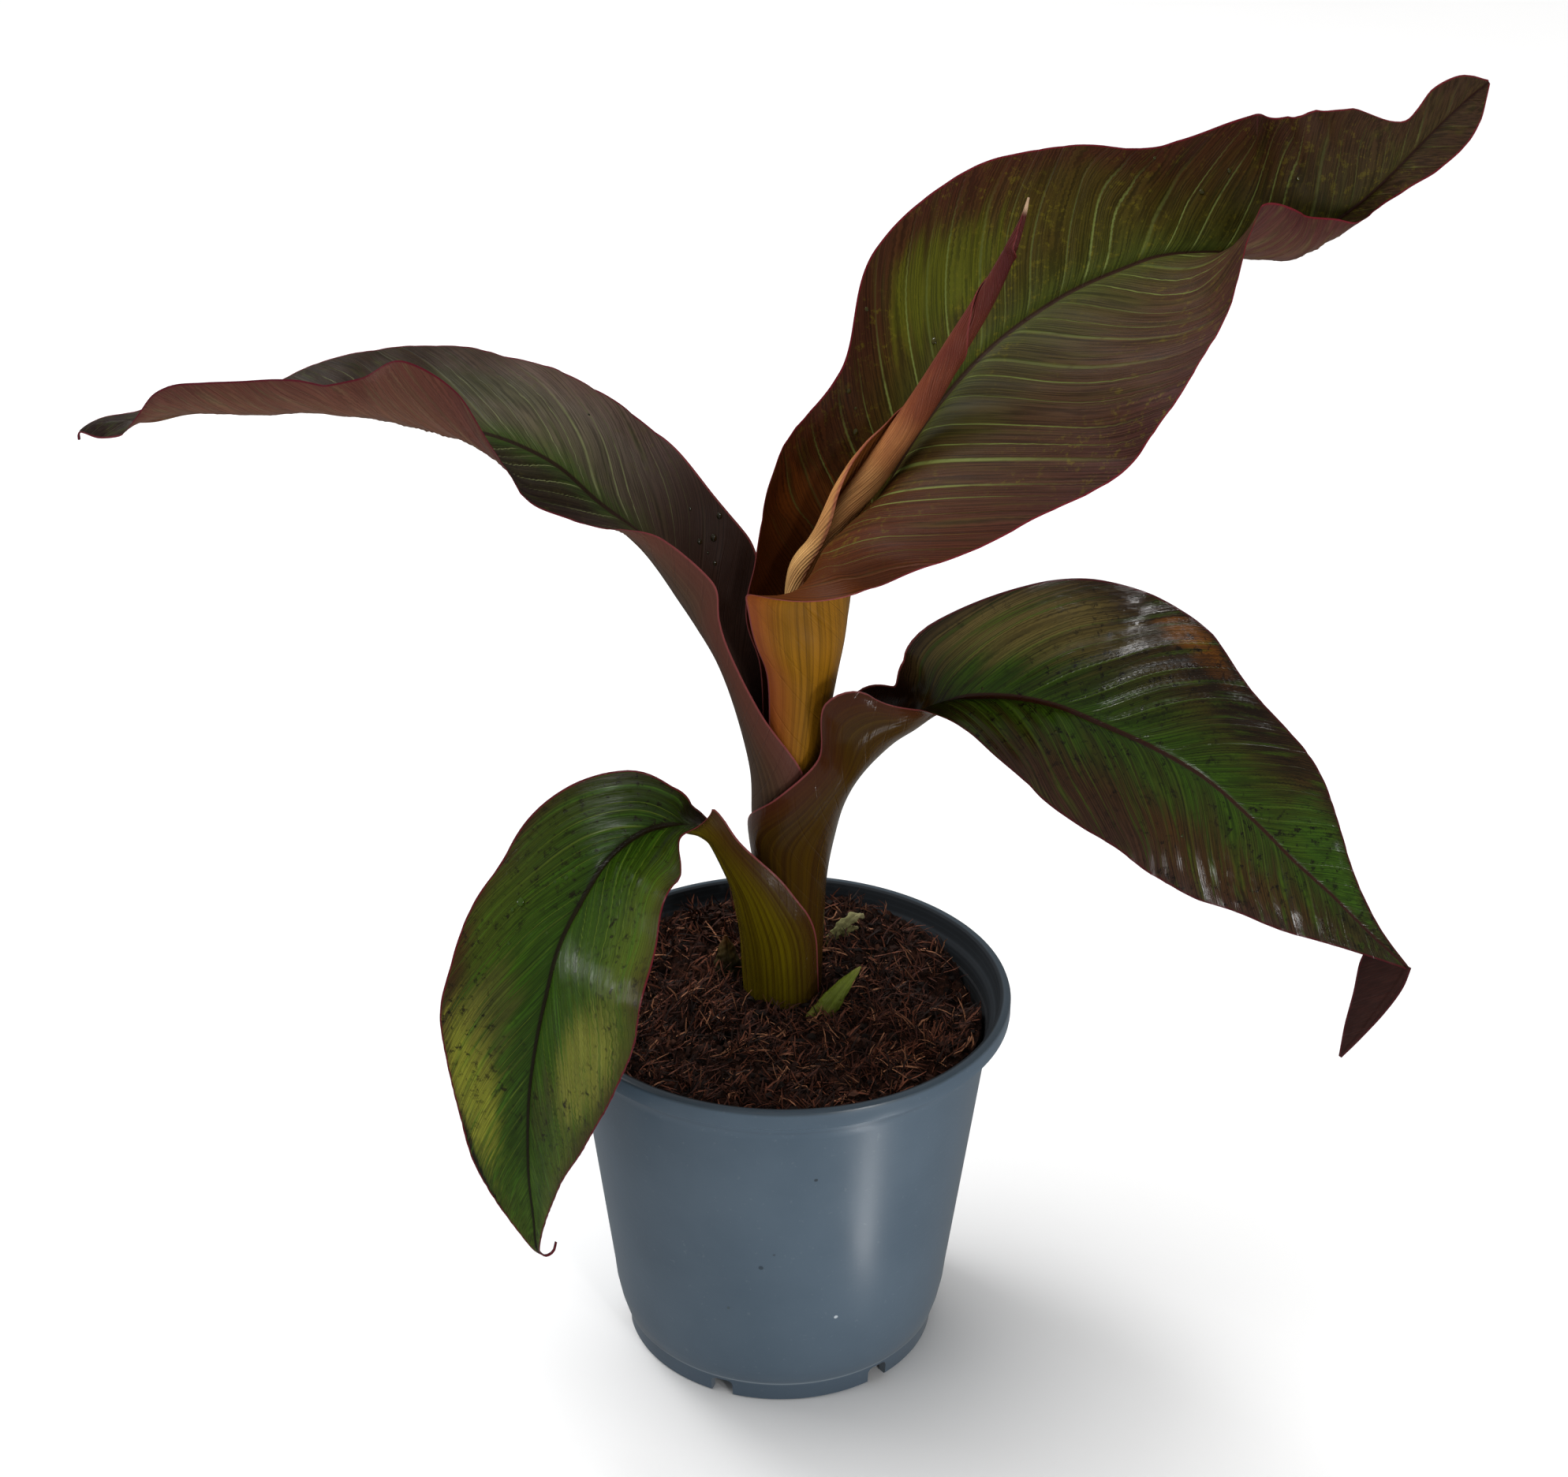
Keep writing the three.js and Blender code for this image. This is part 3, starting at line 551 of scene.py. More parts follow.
LOOKS["leaf_b"] = dict(
    left=[(0.0, (40, 58, 8)), (0.3, (46, 48, 9)), (0.65, (50, 36, 12)), (1.0, (42, 25, 12))],
    right=[(0.0, (40, 54, 12)), (0.3, (48, 42, 14)), (0.6, (54, 35, 17)), (1.0, (56, 36, 27))],
    tip=((44, 38, 18), 0.84, 1.0), base=((36, 26, 14), 0.16, 0.0),
    under=[(0.0, (46, 26, 16)), (0.6, (40, 22, 14)), (1.0, (38, 18, 14))],
    stalk=((52, 33, 10), (64, 45, 8)), stalk_edge=(66, 32, 20), inside=(36, 19, 12),
    vein=((70, 92, 24), 0.5), midrib=(44, 14, 12), flank=((48, 78, 8), 0.6),
    edge=(62, 14, 20), speckle=((16, 10, 5), 0.95), streak=((54, 84, 10), 0.6),
    lines=0.4, roughness=0.13, specular=0.28, reach=20.0, relief=0.05,
    # The fourth patch, golden olive near the base of the left half, is a painted highlight.
    patches=[
        (0.4, 0.86, 0.08, 0.12, (120, 70, 12), 0.8), (0.78, 0.5, 0.14, 0.5, (48, 82, 14), 0.75),
        (0.5, 0.75, 0.14, 0.25, (24, 14, 8), 0.7), (0.14, 0.6, 0.14, 0.4, (112, 98, 50), 0.55),
        (0.62, -0.6, 0.2, 0.3, (62, 40, 14), 0.6),
    ],
)
LOOKS["leaf_c"] = dict(
    left=[(0.0, (44, 52, 18)), (0.35, (38, 34, 18)), (0.8, (34, 24, 16)), (1.0, (36, 22, 18))],
    right=[(0.0, (52, 60, 22)), (0.22, (78, 72, 54)), (0.7, (88, 77, 67)), (1.0, (82, 62, 54))],
    tip=((44, 31, 21), 0.34, 0.5), base=((44, 33, 29), 0.2, 0.0),
    under=[(0.0, (88, 54, 35)), (0.5, (104, 68, 52)), (1.0, (90, 50, 43))],
    # The stalk and stalk edge colours are lifted towards grey-brown: partly the sheath's own tone, partly a
    # painted sheen.
    stalk=((62, 45, 33), (80, 60, 44)), stalk_edge=(84, 46, 38), inside=(52, 36, 30),
    vein=((104, 108, 72), 0.75), midrib=(30, 14, 11), flank=((44, 74, 14), 0.45),
    edge=(84, 20, 32), speckle=((78, 74, 28), 0.22), streak=((46, 58, 20), 0.4),
    lines=0.15, roughness=0.42, specular=0.1, reach=9.0, relief=0.12,
    patches=[(0.34, -0.55, 0.14, 0.2, (40, 54, 18), 0.35), (1.0, 0.0, 0.1, 3.0, (30, 15, 13), 0.9)],
)
LOOKS["leaf_d"] = dict(
    left=[(0.0, (56, 62, 18)), (0.3, (60, 55, 13)), (0.65, (62, 40, 13)), (1.0, (62, 30, 18))],
    right=[(0.0, (62, 60, 28)), (0.4, (66, 46, 28)), (0.75, (66, 41, 28)), (1.0, (64, 36, 31))],
    tip=((60, 41, 26), 0.66, 1.0), base=((72, 32, 13), 0.2, 0.02),
    under=[(0.0, (86, 52, 36)), (0.5, (84, 52, 42)), (1.0, (74, 35, 34))],
    stalk=((136, 92, 18), (104, 70, 8)), stalk_edge=(132, 62, 32), inside=(78, 38, 10),
    vein=((106, 116, 58), 0.85), midrib=(38, 17, 13), flank=((64, 76, 22), 0.35),
    edge=(100, 20, 32), speckle=((108, 98, 20), 0.4), streak=((62, 64, 18), 0.35),
    lines=0.2, roughness=0.46, specular=0.08, reach=9.0, relief=0.13,
    # The second patch, orange at the foot of the blade's left half, is painted light: a golden glow standing
    # in for light inside the collar.
    patches=[
        (0.3, 0.55, 0.1, 0.3, (80, 88, 10), 0.6), (0.0, 0.4, 0.07, 0.5, (134, 74, 24), 0.55),
        (0.46, 0.62, 0.1, 0.3, (62, 60, 11), 0.4),
    ],
)
LOOKS["leaf_b_tip"] = dict(
    LOOKS["leaf_b"],
    left=[(0.0, (46, 19, 12)), (1.0, (44, 17, 11))],
    under=[(0.0, (46, 19, 13)), (0.7, (42, 16, 11)), (1.0, (38, 12, 9))],
    tip=((32, 15, 10), 0.75, 1.0), base=((44, 20, 15), 0.2, 0.0), patches=[],
    vein=((62, 32, 22), 0.3), flank=((42, 18, 12), 0.0), streak=((54, 26, 18), 0.3),
    roughness=0.3, specular=0.2,
)


def leaf_material(name, look):
    s = Shader(name, look["specular"])
    across, along, vein, from_rib, to_edge, blade, upper, far = (
        s.attribute(field)
        for field in ("across", "along", "vein", "from_rib", "to_edge", "blade", "front", "far"))
    out = s.math("ABSOLUTE", across)
    on_left = s.step(across, -0.01, 0.01)
    streak = s.streaks(vein, 3.2, across, 2.2, 3.0, 4.0)
    threads = s.streaks(vein, 16.0, across, 3.0, 7.0)
    cloud = s.noise(34.0)
    grain = s.noise(420.0, detail=5.0, roughness=0.7)
    blur = s.add(out, s.mul(s.sub(cloud, 0.5), 0.5), clamp=True)

    top = s.mix(on_left, s.ramp(blur, look["right"]), s.ramp(blur, look["left"]))
    colour, start, full = look["tip"]
    top = s.mix(s.step(s.add(along, s.mul(cloud, 0.2)), start, full + 0.1), top, srgb(*colour))
    colour, start, full = look["base"]
    top = s.tint(top, s.step(along, start, full), colour, 0.8)
    for centre, place, length, width, *laid in look["patches"]:
        dx = s.math("DIVIDE", s.sub(along, centre), length)
        dy = s.math("DIVIDE", s.sub(across, place), width)
        gap = s.math("SQRT", s.add(s.mul(dx, dx), s.mul(dy, dy)))
        gap = s.add(gap, s.mul(s.sub(streak, 0.5), 1.6))
        top = s.tint(top, s.step(gap, 1.15, 0.45), *laid)
    top = s.tint(top, s.step(streak, 0.5, 0.72), *look["streak"])
    glow = s.mul(s.step(from_rib, look["reach"], 0.5), s.step(along, 1.0, 0.5))
    glow = s.mul(glow, s.add(s.step(streak, 0.35, 0.65), 0.3, clamp=True))
    top = s.tint(top, glow, *look["flank"])
    spots = s.mul(s.step(grain, 0.53, 0.66), s.step(cloud, 0.36, 0.62))
    top = s.tint(top, spots, *look["speckle"])

    fine = s.math("SINE", s.mul(vein, 2 * math.pi * FINE_VEINS))
    top = s.tint(top, s.step(threads, 0.56, 0.4), BLACK, 0.45)
    top = s.tint(top, s.step(fine, 0.1, 1.0), BLACK, look["lines"])
    lane = s.sub(s.math("FRACT", s.add(vein, 0.5)), 0.5)
    line = s.step(s.math("ABSOLUTE", lane), 0.065, 0.015)
    strong = s.step(s.noise(1.0, s.vector(s.math("ROUND", vein), 0.5, 9.0), 0.0), 0.35, 0.65)
    broken = s.step(s.streaks(vein, 2.0, across, 9.0, 5.0), 0.22, 0.5)
    fade = s.mul(s.step(out, 1.0, 0.4), s.step(from_rib, 0.6, 3.0))
    fade = s.mul(fade, s.step(along, 1.05, 0.6))
    line_share = s.mul(s.mul(line, fade), s.add(strong, 0.35, clamp=True))
    top = s.tint(top, s.mul(line_share, broken), *look["vein"])
    rib_width = s.sub(0.95, s.mul(along, 0.6))
    on_rib = s.step(s.sub(from_rib, rib_width), 0.3, -0.2)
    top = s.tint(top, on_rib, look["midrib"], 0.9)

    under = s.ramp(blur, look["under"])
    under = s.tint(under, s.step(streak, 0.45, 0.8), look["vein"][0], 0.3)
    under = s.tint(under, s.step(threads, 0.58, 0.42), BLACK, 0.3)
    body = s.mix(upper, under, top)

    ribs = s.streaks(across, 26.0, far, 0.012, 1.0)
    stalk = s.mix(s.step(ribs, 0.35, 0.7), *(srgb(*tone) for tone in look["stalk"]))
    groove = s.math("ABSOLUTE", s.math("SINE", s.mul(across, SHEATH_FURROWS * math.pi)))
    stalk = s.mix(s.mul(s.step(groove, 0.35, 0.0), 0.35), stalk, FURROW_SHADE)
    stalk = s.tint(stalk, s.step(to_edge, 12.0, 0.5), look["stalk_edge"], 0.8)
    inside = look["inside"]
    inside = s.mix(s.step(fine, 0.2, 0.9), srgb(*inside), dimmed(inside, 0.6))
    colour = s.mix(blade, s.mix(upper, stalk, inside), body)
    edge = s.mix(blade, srgb(*SHEATH_EDGE), srgb(*look["edge"]))
    colour = s.mix(s.step(to_edge, 0.7, 0.3), colour, edge)

    rough = s.add(look["roughness"] - 0.12, s.mul(s.add(cloud, streak), 0.15))
    relief = s.add(s.mul(threads, 1.2), s.mul(grain, 0.6))
    relief = s.add(relief, s.mul(line, -0.8))
    return s.finish(colour, rough, relief, look["relief"] * MM, 0.9)


def make_leaves():
    for name, leaf in LEAVES.items():
        make_leaf(name, leaf, leaf_material(name, LOOKS[name]))


# Rolled leaf

# A section is [reach, height, radius], and a wrap is [how far along the roll, the way the outer
# edge faces there, how far it stands off, and how much of the sheet is loose], in degrees with
# 90 on the photograph's left and 180 towards the camera.
SPEAR = dict(
    heading=12, turns=2.4, thickness=0.13,
    sections=[
        [2, 207, 1.5], [2.5, 222, 3.2], [4.3, 233.7, 4.0], [8.9, 240.8, 3.6], [15.0, 249.5, 3.7],
        [22.9, 260, 4.0], [28.9, 268.9, 3.9], [37.3, 281.5, 3.7], [44.6, 294.1, 3.1], [50.2, 303.4, 2.8],
        [54.6, 311.6, 2.3], [58.4, 319.8, 1.6], [61.1, 327, 0.75], [62.5, 333, 0.25],
    ],
    wraps=[
        [0, 185, 0.6, 100], [30, 172, 0.8, 100], [38, 160, 1.6, 110], [44, 146, 2.8, 120],
        [50, 126, 3.6, 120], [58, 106, 3.6, 110], [66, 92, 2.6, 100], [72, 78, 1.0, 90],
        [78, 40, 0.3, 60], [88, -40, 0.3, 40], [96, -95, 0.4, 40], [104, -180, 0.5, 40],
        [111, -235, 0.4, 40], [120, -330, 0.2, 40], [127, -450, 0.5, 40], [129, -540, 0.5, 40],
        [134, -570, 0.2, 40], [150, -700, 0.1, 40],
    ],
    outer=[(0.15, (228, 178, 112)), (0.42, (168, 110, 64)), (0.56, (122, 64, 39)),
           (0.72, (98, 44, 33)), (0.9, (74, 26, 27))],
    inner=[(0.0, (176, 122, 50)), (0.5, (140, 76, 34)), (0.9, (60, 22, 20))],
)


def make_spear():
    rows = np.array(SPEAR["sections"], dtype=float)
    row, _, far, origin, left, face = leaf_line(rows, SPEAR_STEP, SPEAR["heading"])
    wraps = np.array(SPEAR["wraps"], dtype=float)
    wrap = smooth_rows(wraps, np.interp(far, wraps[:, 0], np.arange(len(wraps))))
    share = np.linspace(0, 1, SPEAR_COLUMNS)
    back = 360 * SPEAR["turns"] * (1 - share)
    angle = np.radians(wrap[:, 1:2] - back)
    lift = wrap[:, 2:3] * (1 - smoothstep(back, 0, wrap[:, 3:4]))
    size = row[:, 2:3]
    radius = size * (0.8 + 0.2 * share) + lift * smoothstep(size, 0.2, 1.5)
    around = np.cos(angle)[..., None] * left + np.sin(angle)[..., None] * face[:, None]
    point = origin[:, None] + radius[..., None] * around
    shift = np.minimum(SPEAR["thickness"], 0.12 * size)[..., None] * around

    s = Shader("rolled_leaf", 0.16)
    place, turn, rib, outer = (s.attribute(field) for field in ("along", "wrap", "rib", "front"))
    blotch = s.noise(60.0, detail=4.0)
    threads = s.streaks(rib, 3.2, place, 7.0, detail=4.0)
    shade = s.add(place, s.mul(s.sub(blotch, 0.5), 0.3))
    colour = s.mix(outer, s.ramp(shade, SPEAR["inner"]), s.ramp(shade, SPEAR["outer"]))
    colour = s.tint(colour, s.step(threads, 0.56, 0.36), (74, 34, 16), 0.45)
    colour = s.tint(colour, s.step(threads, 0.62, 0.75), (196, 156, 96), 0.35)
    colour = s.tint(colour, s.step(turn, 0.985, 0.995), (122, 52, 52), 0.6)
    colour = s.mix(s.step(place, 0.965, 0.985), colour, srgb(190, 158, 128))
    lines = s.math("SINE", s.mul(rib, 2 * math.pi / 0.62))
    relief = s.add(s.mul(lines, 0.35), threads)
    material = s.finish(colour, s.add(0.36, s.mul(blotch, 0.2)), relief, 0.00022, 0.9)
    fields = {"along": far[:, None] / far[-1], "wrap": share,
              "rib": np.radians(back) * size + 0.28 * far[:, None]}
    sides = [point - shift, point + shift]
    add_sheet("spear", sides, fields, ["spear"], material, flip=True)


# Pot

# Radius and height of the pot's corners, from under its middle, over the rim and back inside
POT_OUTLINE = [
    (0, 0), (15.4, 0), (16, 0.6), (16, 5.6), (42.7, 5.6), (42.7, 0.4), (43.1, 0), (44.8, 0), (45.3, 0.5),
    (45.7, 6.2), (46.3, 6.6), (46.6, 7.0), (47.9, 11.4), (49.0, 17), (49.5, 22), (52.6, 47), (56.3, 77),
    (59.0, 99.2), (59.3, 101.6), (59.55, 102.0), (59.9, 105.6), (60.2, 106.3), (60.8, 106.5), (64.4, 106.5),
    (64.9, 106.9), (65.0, 107.6), (65.0, 111.0), (64.75, 111.7), (64.1, 112.0), (62.8, 112.0), (62.0, 111.6),
    (61.6, 110.6), (61.2, 107.6), (60.4, 106.6), (59.6, 106.3), (59.3, 105.8), (58.8, 102.6), (58.2, 102.2),
    (57.5, 97), (48.1, 22), (46.1, 10.6), (43.5, 7.6), (0, 7.6),
]
POT_WALL = np.array(POT_OUTLINE[13:18])
POT_SEGMENTS = 288
NOTCH_ANGLES = [-51 + 60 * i for i in range(6)]
NOTCH_HALF, NOTCH_SIDE, NOTCH_BEND, NOTCH_ENDS = 3.3, 3.6, 1.6, (40.0, 52.0)
DRAIN_REACH, DRAIN_RADIUS, DRAIN_SIDES, DRAIN_ENDS = 34, 4.5, 24, (4.0, 9.0)

# Small marks on the pot: degrees to the right of its front, height, size and colour
POT_MARKS = [
    (9.9, 85, 0.45, (34, 40, 48)), (-5.4, 53, 0.7, (40, 52, 62)), (18.5, 32.5, 0.5, (190, 198, 204)),
    (-16, 36, 0.5, (60, 72, 76)), (-1.5, 58, 0.4, (52, 62, 72)),
]


def pot_cutter():
    """The notches through the foot and the drain holes behind them, as one mesh."""
    notch = [(-NOTCH_HALF, -1), (NOTCH_HALF, -1), (NOTCH_HALF, NOTCH_SIDE)]
    notch += [(NOTCH_HALF - NOTCH_BEND * (1 - math.cos(a)), NOTCH_SIDE + NOTCH_BEND * math.sin(a))
              for a in np.linspace(0.3, math.pi / 2, 5)]
    notch += [(-u, v) for u, v in notch[:1:-1]]
    turns = [2 * math.pi * step / DRAIN_SIDES for step in range(DRAIN_SIDES)]
    drain = [(DRAIN_REACH + DRAIN_RADIUS * math.cos(a), DRAIN_RADIUS * math.sin(a)) for a in turns]
    tubes = [[[(reach, u, v) for u, v in notch] for reach in NOTCH_ENDS],
             [[(x, y, height) for x, y in drain] for height in DRAIN_ENDS]]
    made = bmesh.new()
    for angle in NOTCH_ANGLES:
        turn = Matrix.Rotation(math.radians(angle), 4, "Z")
        for rings in tubes:
            near, far = ([made.verts.new(turn @ (Vector(p) * MM)) for p in ring] for ring in rings)
            for i in range(len(near)):
                j = (i + 1) % len(near)
                made.faces.new([near[i], near[j], far[j], far[i]])
            made.faces.new(near[::-1])
            made.faces.new(far)
    bmesh.ops.recalc_face_normals(made, faces=made.faces)
    mesh = bpy.data.meshes.new("pot_cutter")
    made.to_mesh(mesh)
    made.free()
    return add_object("pot_cutter", mesh)


def pot_material():
    s = Shader("pot_plastic", 0.45)
    x, y, z = s.node("ShaderNodeSeparateXYZ", {0: s.place()}).outputs

    def between(low, high, soft):
        """The share of the pot between two heights, with soft edges."""
        return s.mul(s.step(z, low, low + soft), s.step(z, high, high - soft))

    cloud = s.noise(26.0, detail=4.0)
    dust = s.noise(700.0, detail=2.0)
    colour = s.mix(s.step(cloud, 0.3, 0.7), srgb(69, 85, 99), srgb(76, 92, 106))
    colour = s.tint(colour, s.step(dust, 0.66, 0.74), (98, 110, 120), 0.4)
    # Painted shadow: a darker line round the wall at the step below the rim.
    colour = s.tint(colour, between(0.1012, 0.1026, 0.0006), (60, 72, 84), 0.3)
    # Painted highlight: a lighter band on the foot's ledge, with painted shade making the foot below it
    # darker.
    colour = s.tint(colour, between(0.0056, 0.0076, 0.0008), (150, 160, 166), 0.55)
    colour = s.tint(colour, s.step(z, 0.0062, 0.0052), (64, 76, 90), 0.3)
    # Painted shade: the top of the rim is darker.
    colour = s.tint(colour, s.step(z, 0.1108, 0.1117), (44, 53, 60), 0.75)
    for angle, height, size, tone in POT_MARKS:
        reach = np.interp(height, POT_WALL[:, 1], POT_WALL[:, 0])
        turn = math.radians(angle)
        centre = (reach * math.sin(turn) * MM, -reach * math.cos(turn) * MM, height * MM)
        gap = s.node("ShaderNodeVectorMath", {0: s.place(), 1: centre}, operation="DISTANCE")
        ragged = s.add(gap.outputs["Value"], s.mul(dust, 0.0006))
        mark = s.step(ragged, (size + 0.5) * MM, (size + 0.15) * MM)
        colour = s.tint(colour, mark, tone, 0.85)
    # Painted shade: the inner side of the wall is darkened, near black low down by the soil and dark slate
    # towards the rim, with lighter rings.
    normal = s.node("ShaderNodeNewGeometry").outputs["Normal"]
    facing = s.node("ShaderNodeVectorMath", {0: normal, 1: s.vector(x, y)}, operation="DOT_PRODUCT")
    grooves = s.step(s.math("SINE", s.mul(z, 2 * math.pi / 0.0019)), 0.4, 1.0)
    inner = s.mix(s.step(z, 0.098, 0.108), srgb(9, 9, 10), srgb(24, 29, 34))
    inner = s.tint(inner, grooves, (44, 51, 57), 0.25)
    inside = s.step(facing.outputs["Value"], -0.004, -0.02)
    colour = s.mix(inside, colour, inner)
    rough = s.add(s.add(0.28, s.mul(inside, 0.5)), s.mul(cloud, 0.12))
    drawn = s.node("ShaderNodeMapping", {0: s.place(), 3: (60.0, 60.0, 900.0)}).outputs[0]
    relief = s.add(s.mul(dust, 0.5), s.mul(s.noise(1.0, drawn), 0.5))
    return s.finish(colour, rough, relief, 0.00006, 0.6)


def make_pot():
    angles = np.linspace(0, 2 * np.pi, POT_SEGMENTS, endpoint=False)[:, None]
    outline = np.array(POT_OUTLINE[1:-1], dtype=float)
    reach, height = outline.T
    points = np.stack([reach * np.cos(angles), reach * np.sin(angles), height + 0 * angles], -1)
    index = np.arange(POT_SEGMENTS * len(outline)).reshape(POT_SEGMENTS, -1)
    after = np.roll(index, -1, axis=0)
    faces = np.stack([index[:, :-1], after[:, :-1], after[:, 1:], index[:, 1:]], -1)
    faces = faces.reshape(-1, 4).tolist() + [index[::-1, 0].tolist(), index[:, -1].tolist()]
    pot = add_piece("pot", points.reshape(-1, 3), faces, ["pot"], [pot_material()])

    cutter = pot_cutter()
    modifier = pot.modifiers.new("openings", "BOOLEAN")
    modifier.object = cutter
    modifier.solver = "EXACT"
    graph = bpy.context.evaluated_depsgraph_get()
    carved = bpy.data.meshes.new_from_object(pot.evaluated_get(graph))
    pot.modifiers.clear()
    old = pot.data
    pot.data = carved
    bpy.data.meshes.remove(old)
    bpy.data.objects.remove(cutter)
    smooth_faces(carved, POT_CREASE)


# Soil

def soil_height(x, y):
    """The soil's broad shape: uneven, heaped towards the back, with a hollow at the right rim."""
    out = np.hypot(x - STEM[0], y - STEM[1])
    rough = smoothstep(out, 14, 24)
    waves = np.sin(x / 5.1 + 1) * np.cos(y / 6.3) + 0.7 * np.sin((x + y) / 3.7 + 2)
    hollow = 8 * np.exp(-(((x - 53) ** 2 + (y - 14) ** 2) / 9**2))
    heap = 4.5 * smoothstep(y, 8, 50)
    return SOIL_HEIGHT - 1.8 + rough * 0.9 * waves + heap * rough - hollow


def ground(lumps, x, y):
    """The height of the lumpy surface, and how far it stands above the gaps."""
    rise = np.zeros_like(x)
    for cx, cy, size, height in lumps:
        near = ((x - cx) ** 2 + (y - cy) ** 2) / size**2
        rise = np.maximum(rise, height * np.sqrt(np.clip(1 - near, 0, 1)))
    return soil_height(x, y) + rise, rise


def make_soil(random, lumps):
    angle = np.linspace(0, 2 * np.pi, SOIL_SPOKES, endpoint=False)
    radius = np.linspace(0.2, SOIL_RADIUS, SOIL_RINGS)[:, None]
    x = (radius * np.cos(angle)).ravel()
    y = (radius * np.sin(angle)).ravel()
    z, rise = ground(lumps, x, y)
    z += 0.3 * random.standard_normal(len(z))
    points = [np.stack([x, y, z], -1)]
    for reach, height in SOIL_SKIRT:
        points.append(np.stack([reach * np.cos(angle), reach * np.sin(angle), height + 0 * angle], -1))
    points = np.concatenate(points)
    index = np.arange(len(points)).reshape(-1, SOIL_SPOKES)
    faces = tube_quads(index)[:, [0, 3, 2, 1]].tolist()
    faces += [index[0].tolist(), index[-1, ::-1].tolist()]

    s = Shader("soil", 0.15)
    coarse = s.noise(420.0, detail=6.0, roughness=0.7)
    fine = s.noise(1800.0)
    colour = s.ramp(coarse, SOIL_TONES)
    # Painted shade: the low ground between the lumps is darkened to near black.
    colour = s.tint(colour, s.step(s.attribute("rise"), 1.6, 0.2), (10, 6, 5), 0.75)
    rough = s.add(0.75, s.mul(fine, 0.2))
    material = s.finish(colour, rough, s.add(coarse, s.mul(fine, 0.4)), 0.0012)
    fields = {"rise": np.append(rise, np.ones(len(points) - len(rise)))}
    add_piece("soil", points, faces, ["soil"], [material], fields)


def add_strands(name, routes, widths, materials, kinds, sides=3):
    """Thin tapered strands along routes of equally many points, joined into one mesh."""
    count, steps, _ = routes.shape
    run = unit(np.gradient(routes, axis=1))
    across = unit(np.cross(run, [0.3, 0.2, 0.93]))
    over = np.cross(run, across)
    taper = np.sin(np.linspace(0.5, math.pi - 0.12, steps)) ** 0.5
    size = (widths[:, None] * taper)[..., None]
    turns = [2 * math.pi * side / sides for side in range(sides)]
    points = np.stack([routes + size * (math.cos(turn) * across + 0.6 * math.sin(turn) * over)
                       for turn in turns], 2)
    index = np.arange(count * steps * sides).reshape(count, steps, sides)
    ends = np.concatenate([index[:, 0, ::-1], index[:, -1]])
    faces = tube_quads(index).tolist() + ends.tolist()
    kinds = np.concatenate([np.repeat(kinds, (steps - 1) * sides), kinds, kinds])
    add_piece(name, points.reshape(-1, 3), faces, (), materials, kinds=kinds)


def spread_over_soil(random, count):
    angle = random.uniform(0, 2 * np.pi, count)
    reach = STREWN_RADIUS * np.sqrt(random.uniform(0.01, 1, count))
    return reach * np.cos(angle), reach * np.sin(angle)


def bent_routes(random, x, y, z, heading, rise, length, curve, steps):
    """Curved routes that start at given places and sink back as they go."""
    size = length / (steps - 1)
    bend = random.normal(0, curve, len(x))
    route = np.zeros((len(x), steps, 3))
    for step in range(steps):
        route[:, step] = np.stack([x, y, z], -1)
        x = x + size * np.cos(heading) * np.cos(rise)
        y = y + size * np.sin(heading) * np.cos(rise)
        z = z + size * np.sin(rise)
        heading = heading + bend * size
        rise = rise - random.uniform(0.0, 0.35, len(x))
    out = np.hypot(route[..., 0], route[..., 1])
    route[..., :2] *= np.minimum(1, STRAND_LIMIT / np.maximum(out, 1e-6))[..., None]
    return route


def clear_of_stem(routes, gap):
    keep = np.hypot(routes[..., 0] - STEM[0], routes[..., 1] - STEM[1]).min(axis=1) > gap
    return routes[keep]


def fibre_materials(name, tones, roughness=0.7):
    """Materials for tangled peat and coir, one for each tone."""
    materials = []
    for number, tone in enumerate(tones):
        s = Shader(f"{name}_{number}", 0.35)
        mottle = s.noise(500.0, detail=2.0)
        colour = s.mix(s.step(mottle, 0.35, 0.65), dimmed(tone, 0.55), srgb(*tone))
        rough = s.add(roughness - 0.1, s.mul(mottle, 0.2))
        materials.append(s.finish(colour, rough, mottle, 0.0002, 0.6))
    return materials


def make_fibres(random, lumps):
    materials = fibre_materials("coir", [(36, 19, 13), (72, 38, 27), (110, 63, 44), (156, 106, 76)])
    for part in range(2):
        count = TUFTS * TUFT_STRANDS
        x, y = (np.repeat(v, TUFT_STRANDS) for v in spread_over_soil(random, TUFTS))
        heading = np.repeat(random.uniform(0, 2 * np.pi, TUFTS), TUFT_STRANDS)
        heading = heading + random.normal(0, 0.9, count)
        lean = np.repeat(random.uniform(0.0, 0.9, TUFTS), TUFT_STRANDS)
        lean = lean + random.normal(0, 0.35, count)
        x = x + random.normal(0, 1.3, count)
        y = y + random.normal(0, 1.3, count)
        z = ground(lumps, x, y)[0] - 0.3
        length = random.uniform(2.0, 8.5, count)
        routes = clear_of_stem(bent_routes(random, x, y, z, heading, lean, length, 0.12, 4), 12.0)
        kinds = random.choice(4, len(routes), p=[0.36, 0.36, 0.21, 0.07])
        widths = random.uniform(0.13, 0.38, len(routes))
        add_strands(f"coir_{part}", routes, widths, materials, kinds)
    x, y = spread_over_soil(random, ROOTS)
    z = ground(lumps, x, y)[0] + 0.8
    heading = random.uniform(0, 2 * np.pi, ROOTS)
    lean = random.uniform(0, 0.3, ROOTS)
    length = random.uniform(9, 28, ROOTS)
    routes = bent_routes(random, x, y, z, heading, lean, length, 0.07, 16)
    low = soil_height(routes[..., 0], routes[..., 1]) + 2.6
    routes[..., 2] = np.clip(routes[..., 2], low, low + 2.5)
    routes = clear_of_stem(routes, 12.5)
    kinds = random.choice([1, 2, 3], len(routes), p=[0.3, 0.35, 0.35])
    widths = random.uniform(0.16, 0.36, len(routes))
    add_strands("roots", routes, widths, materials, kinds, 6)


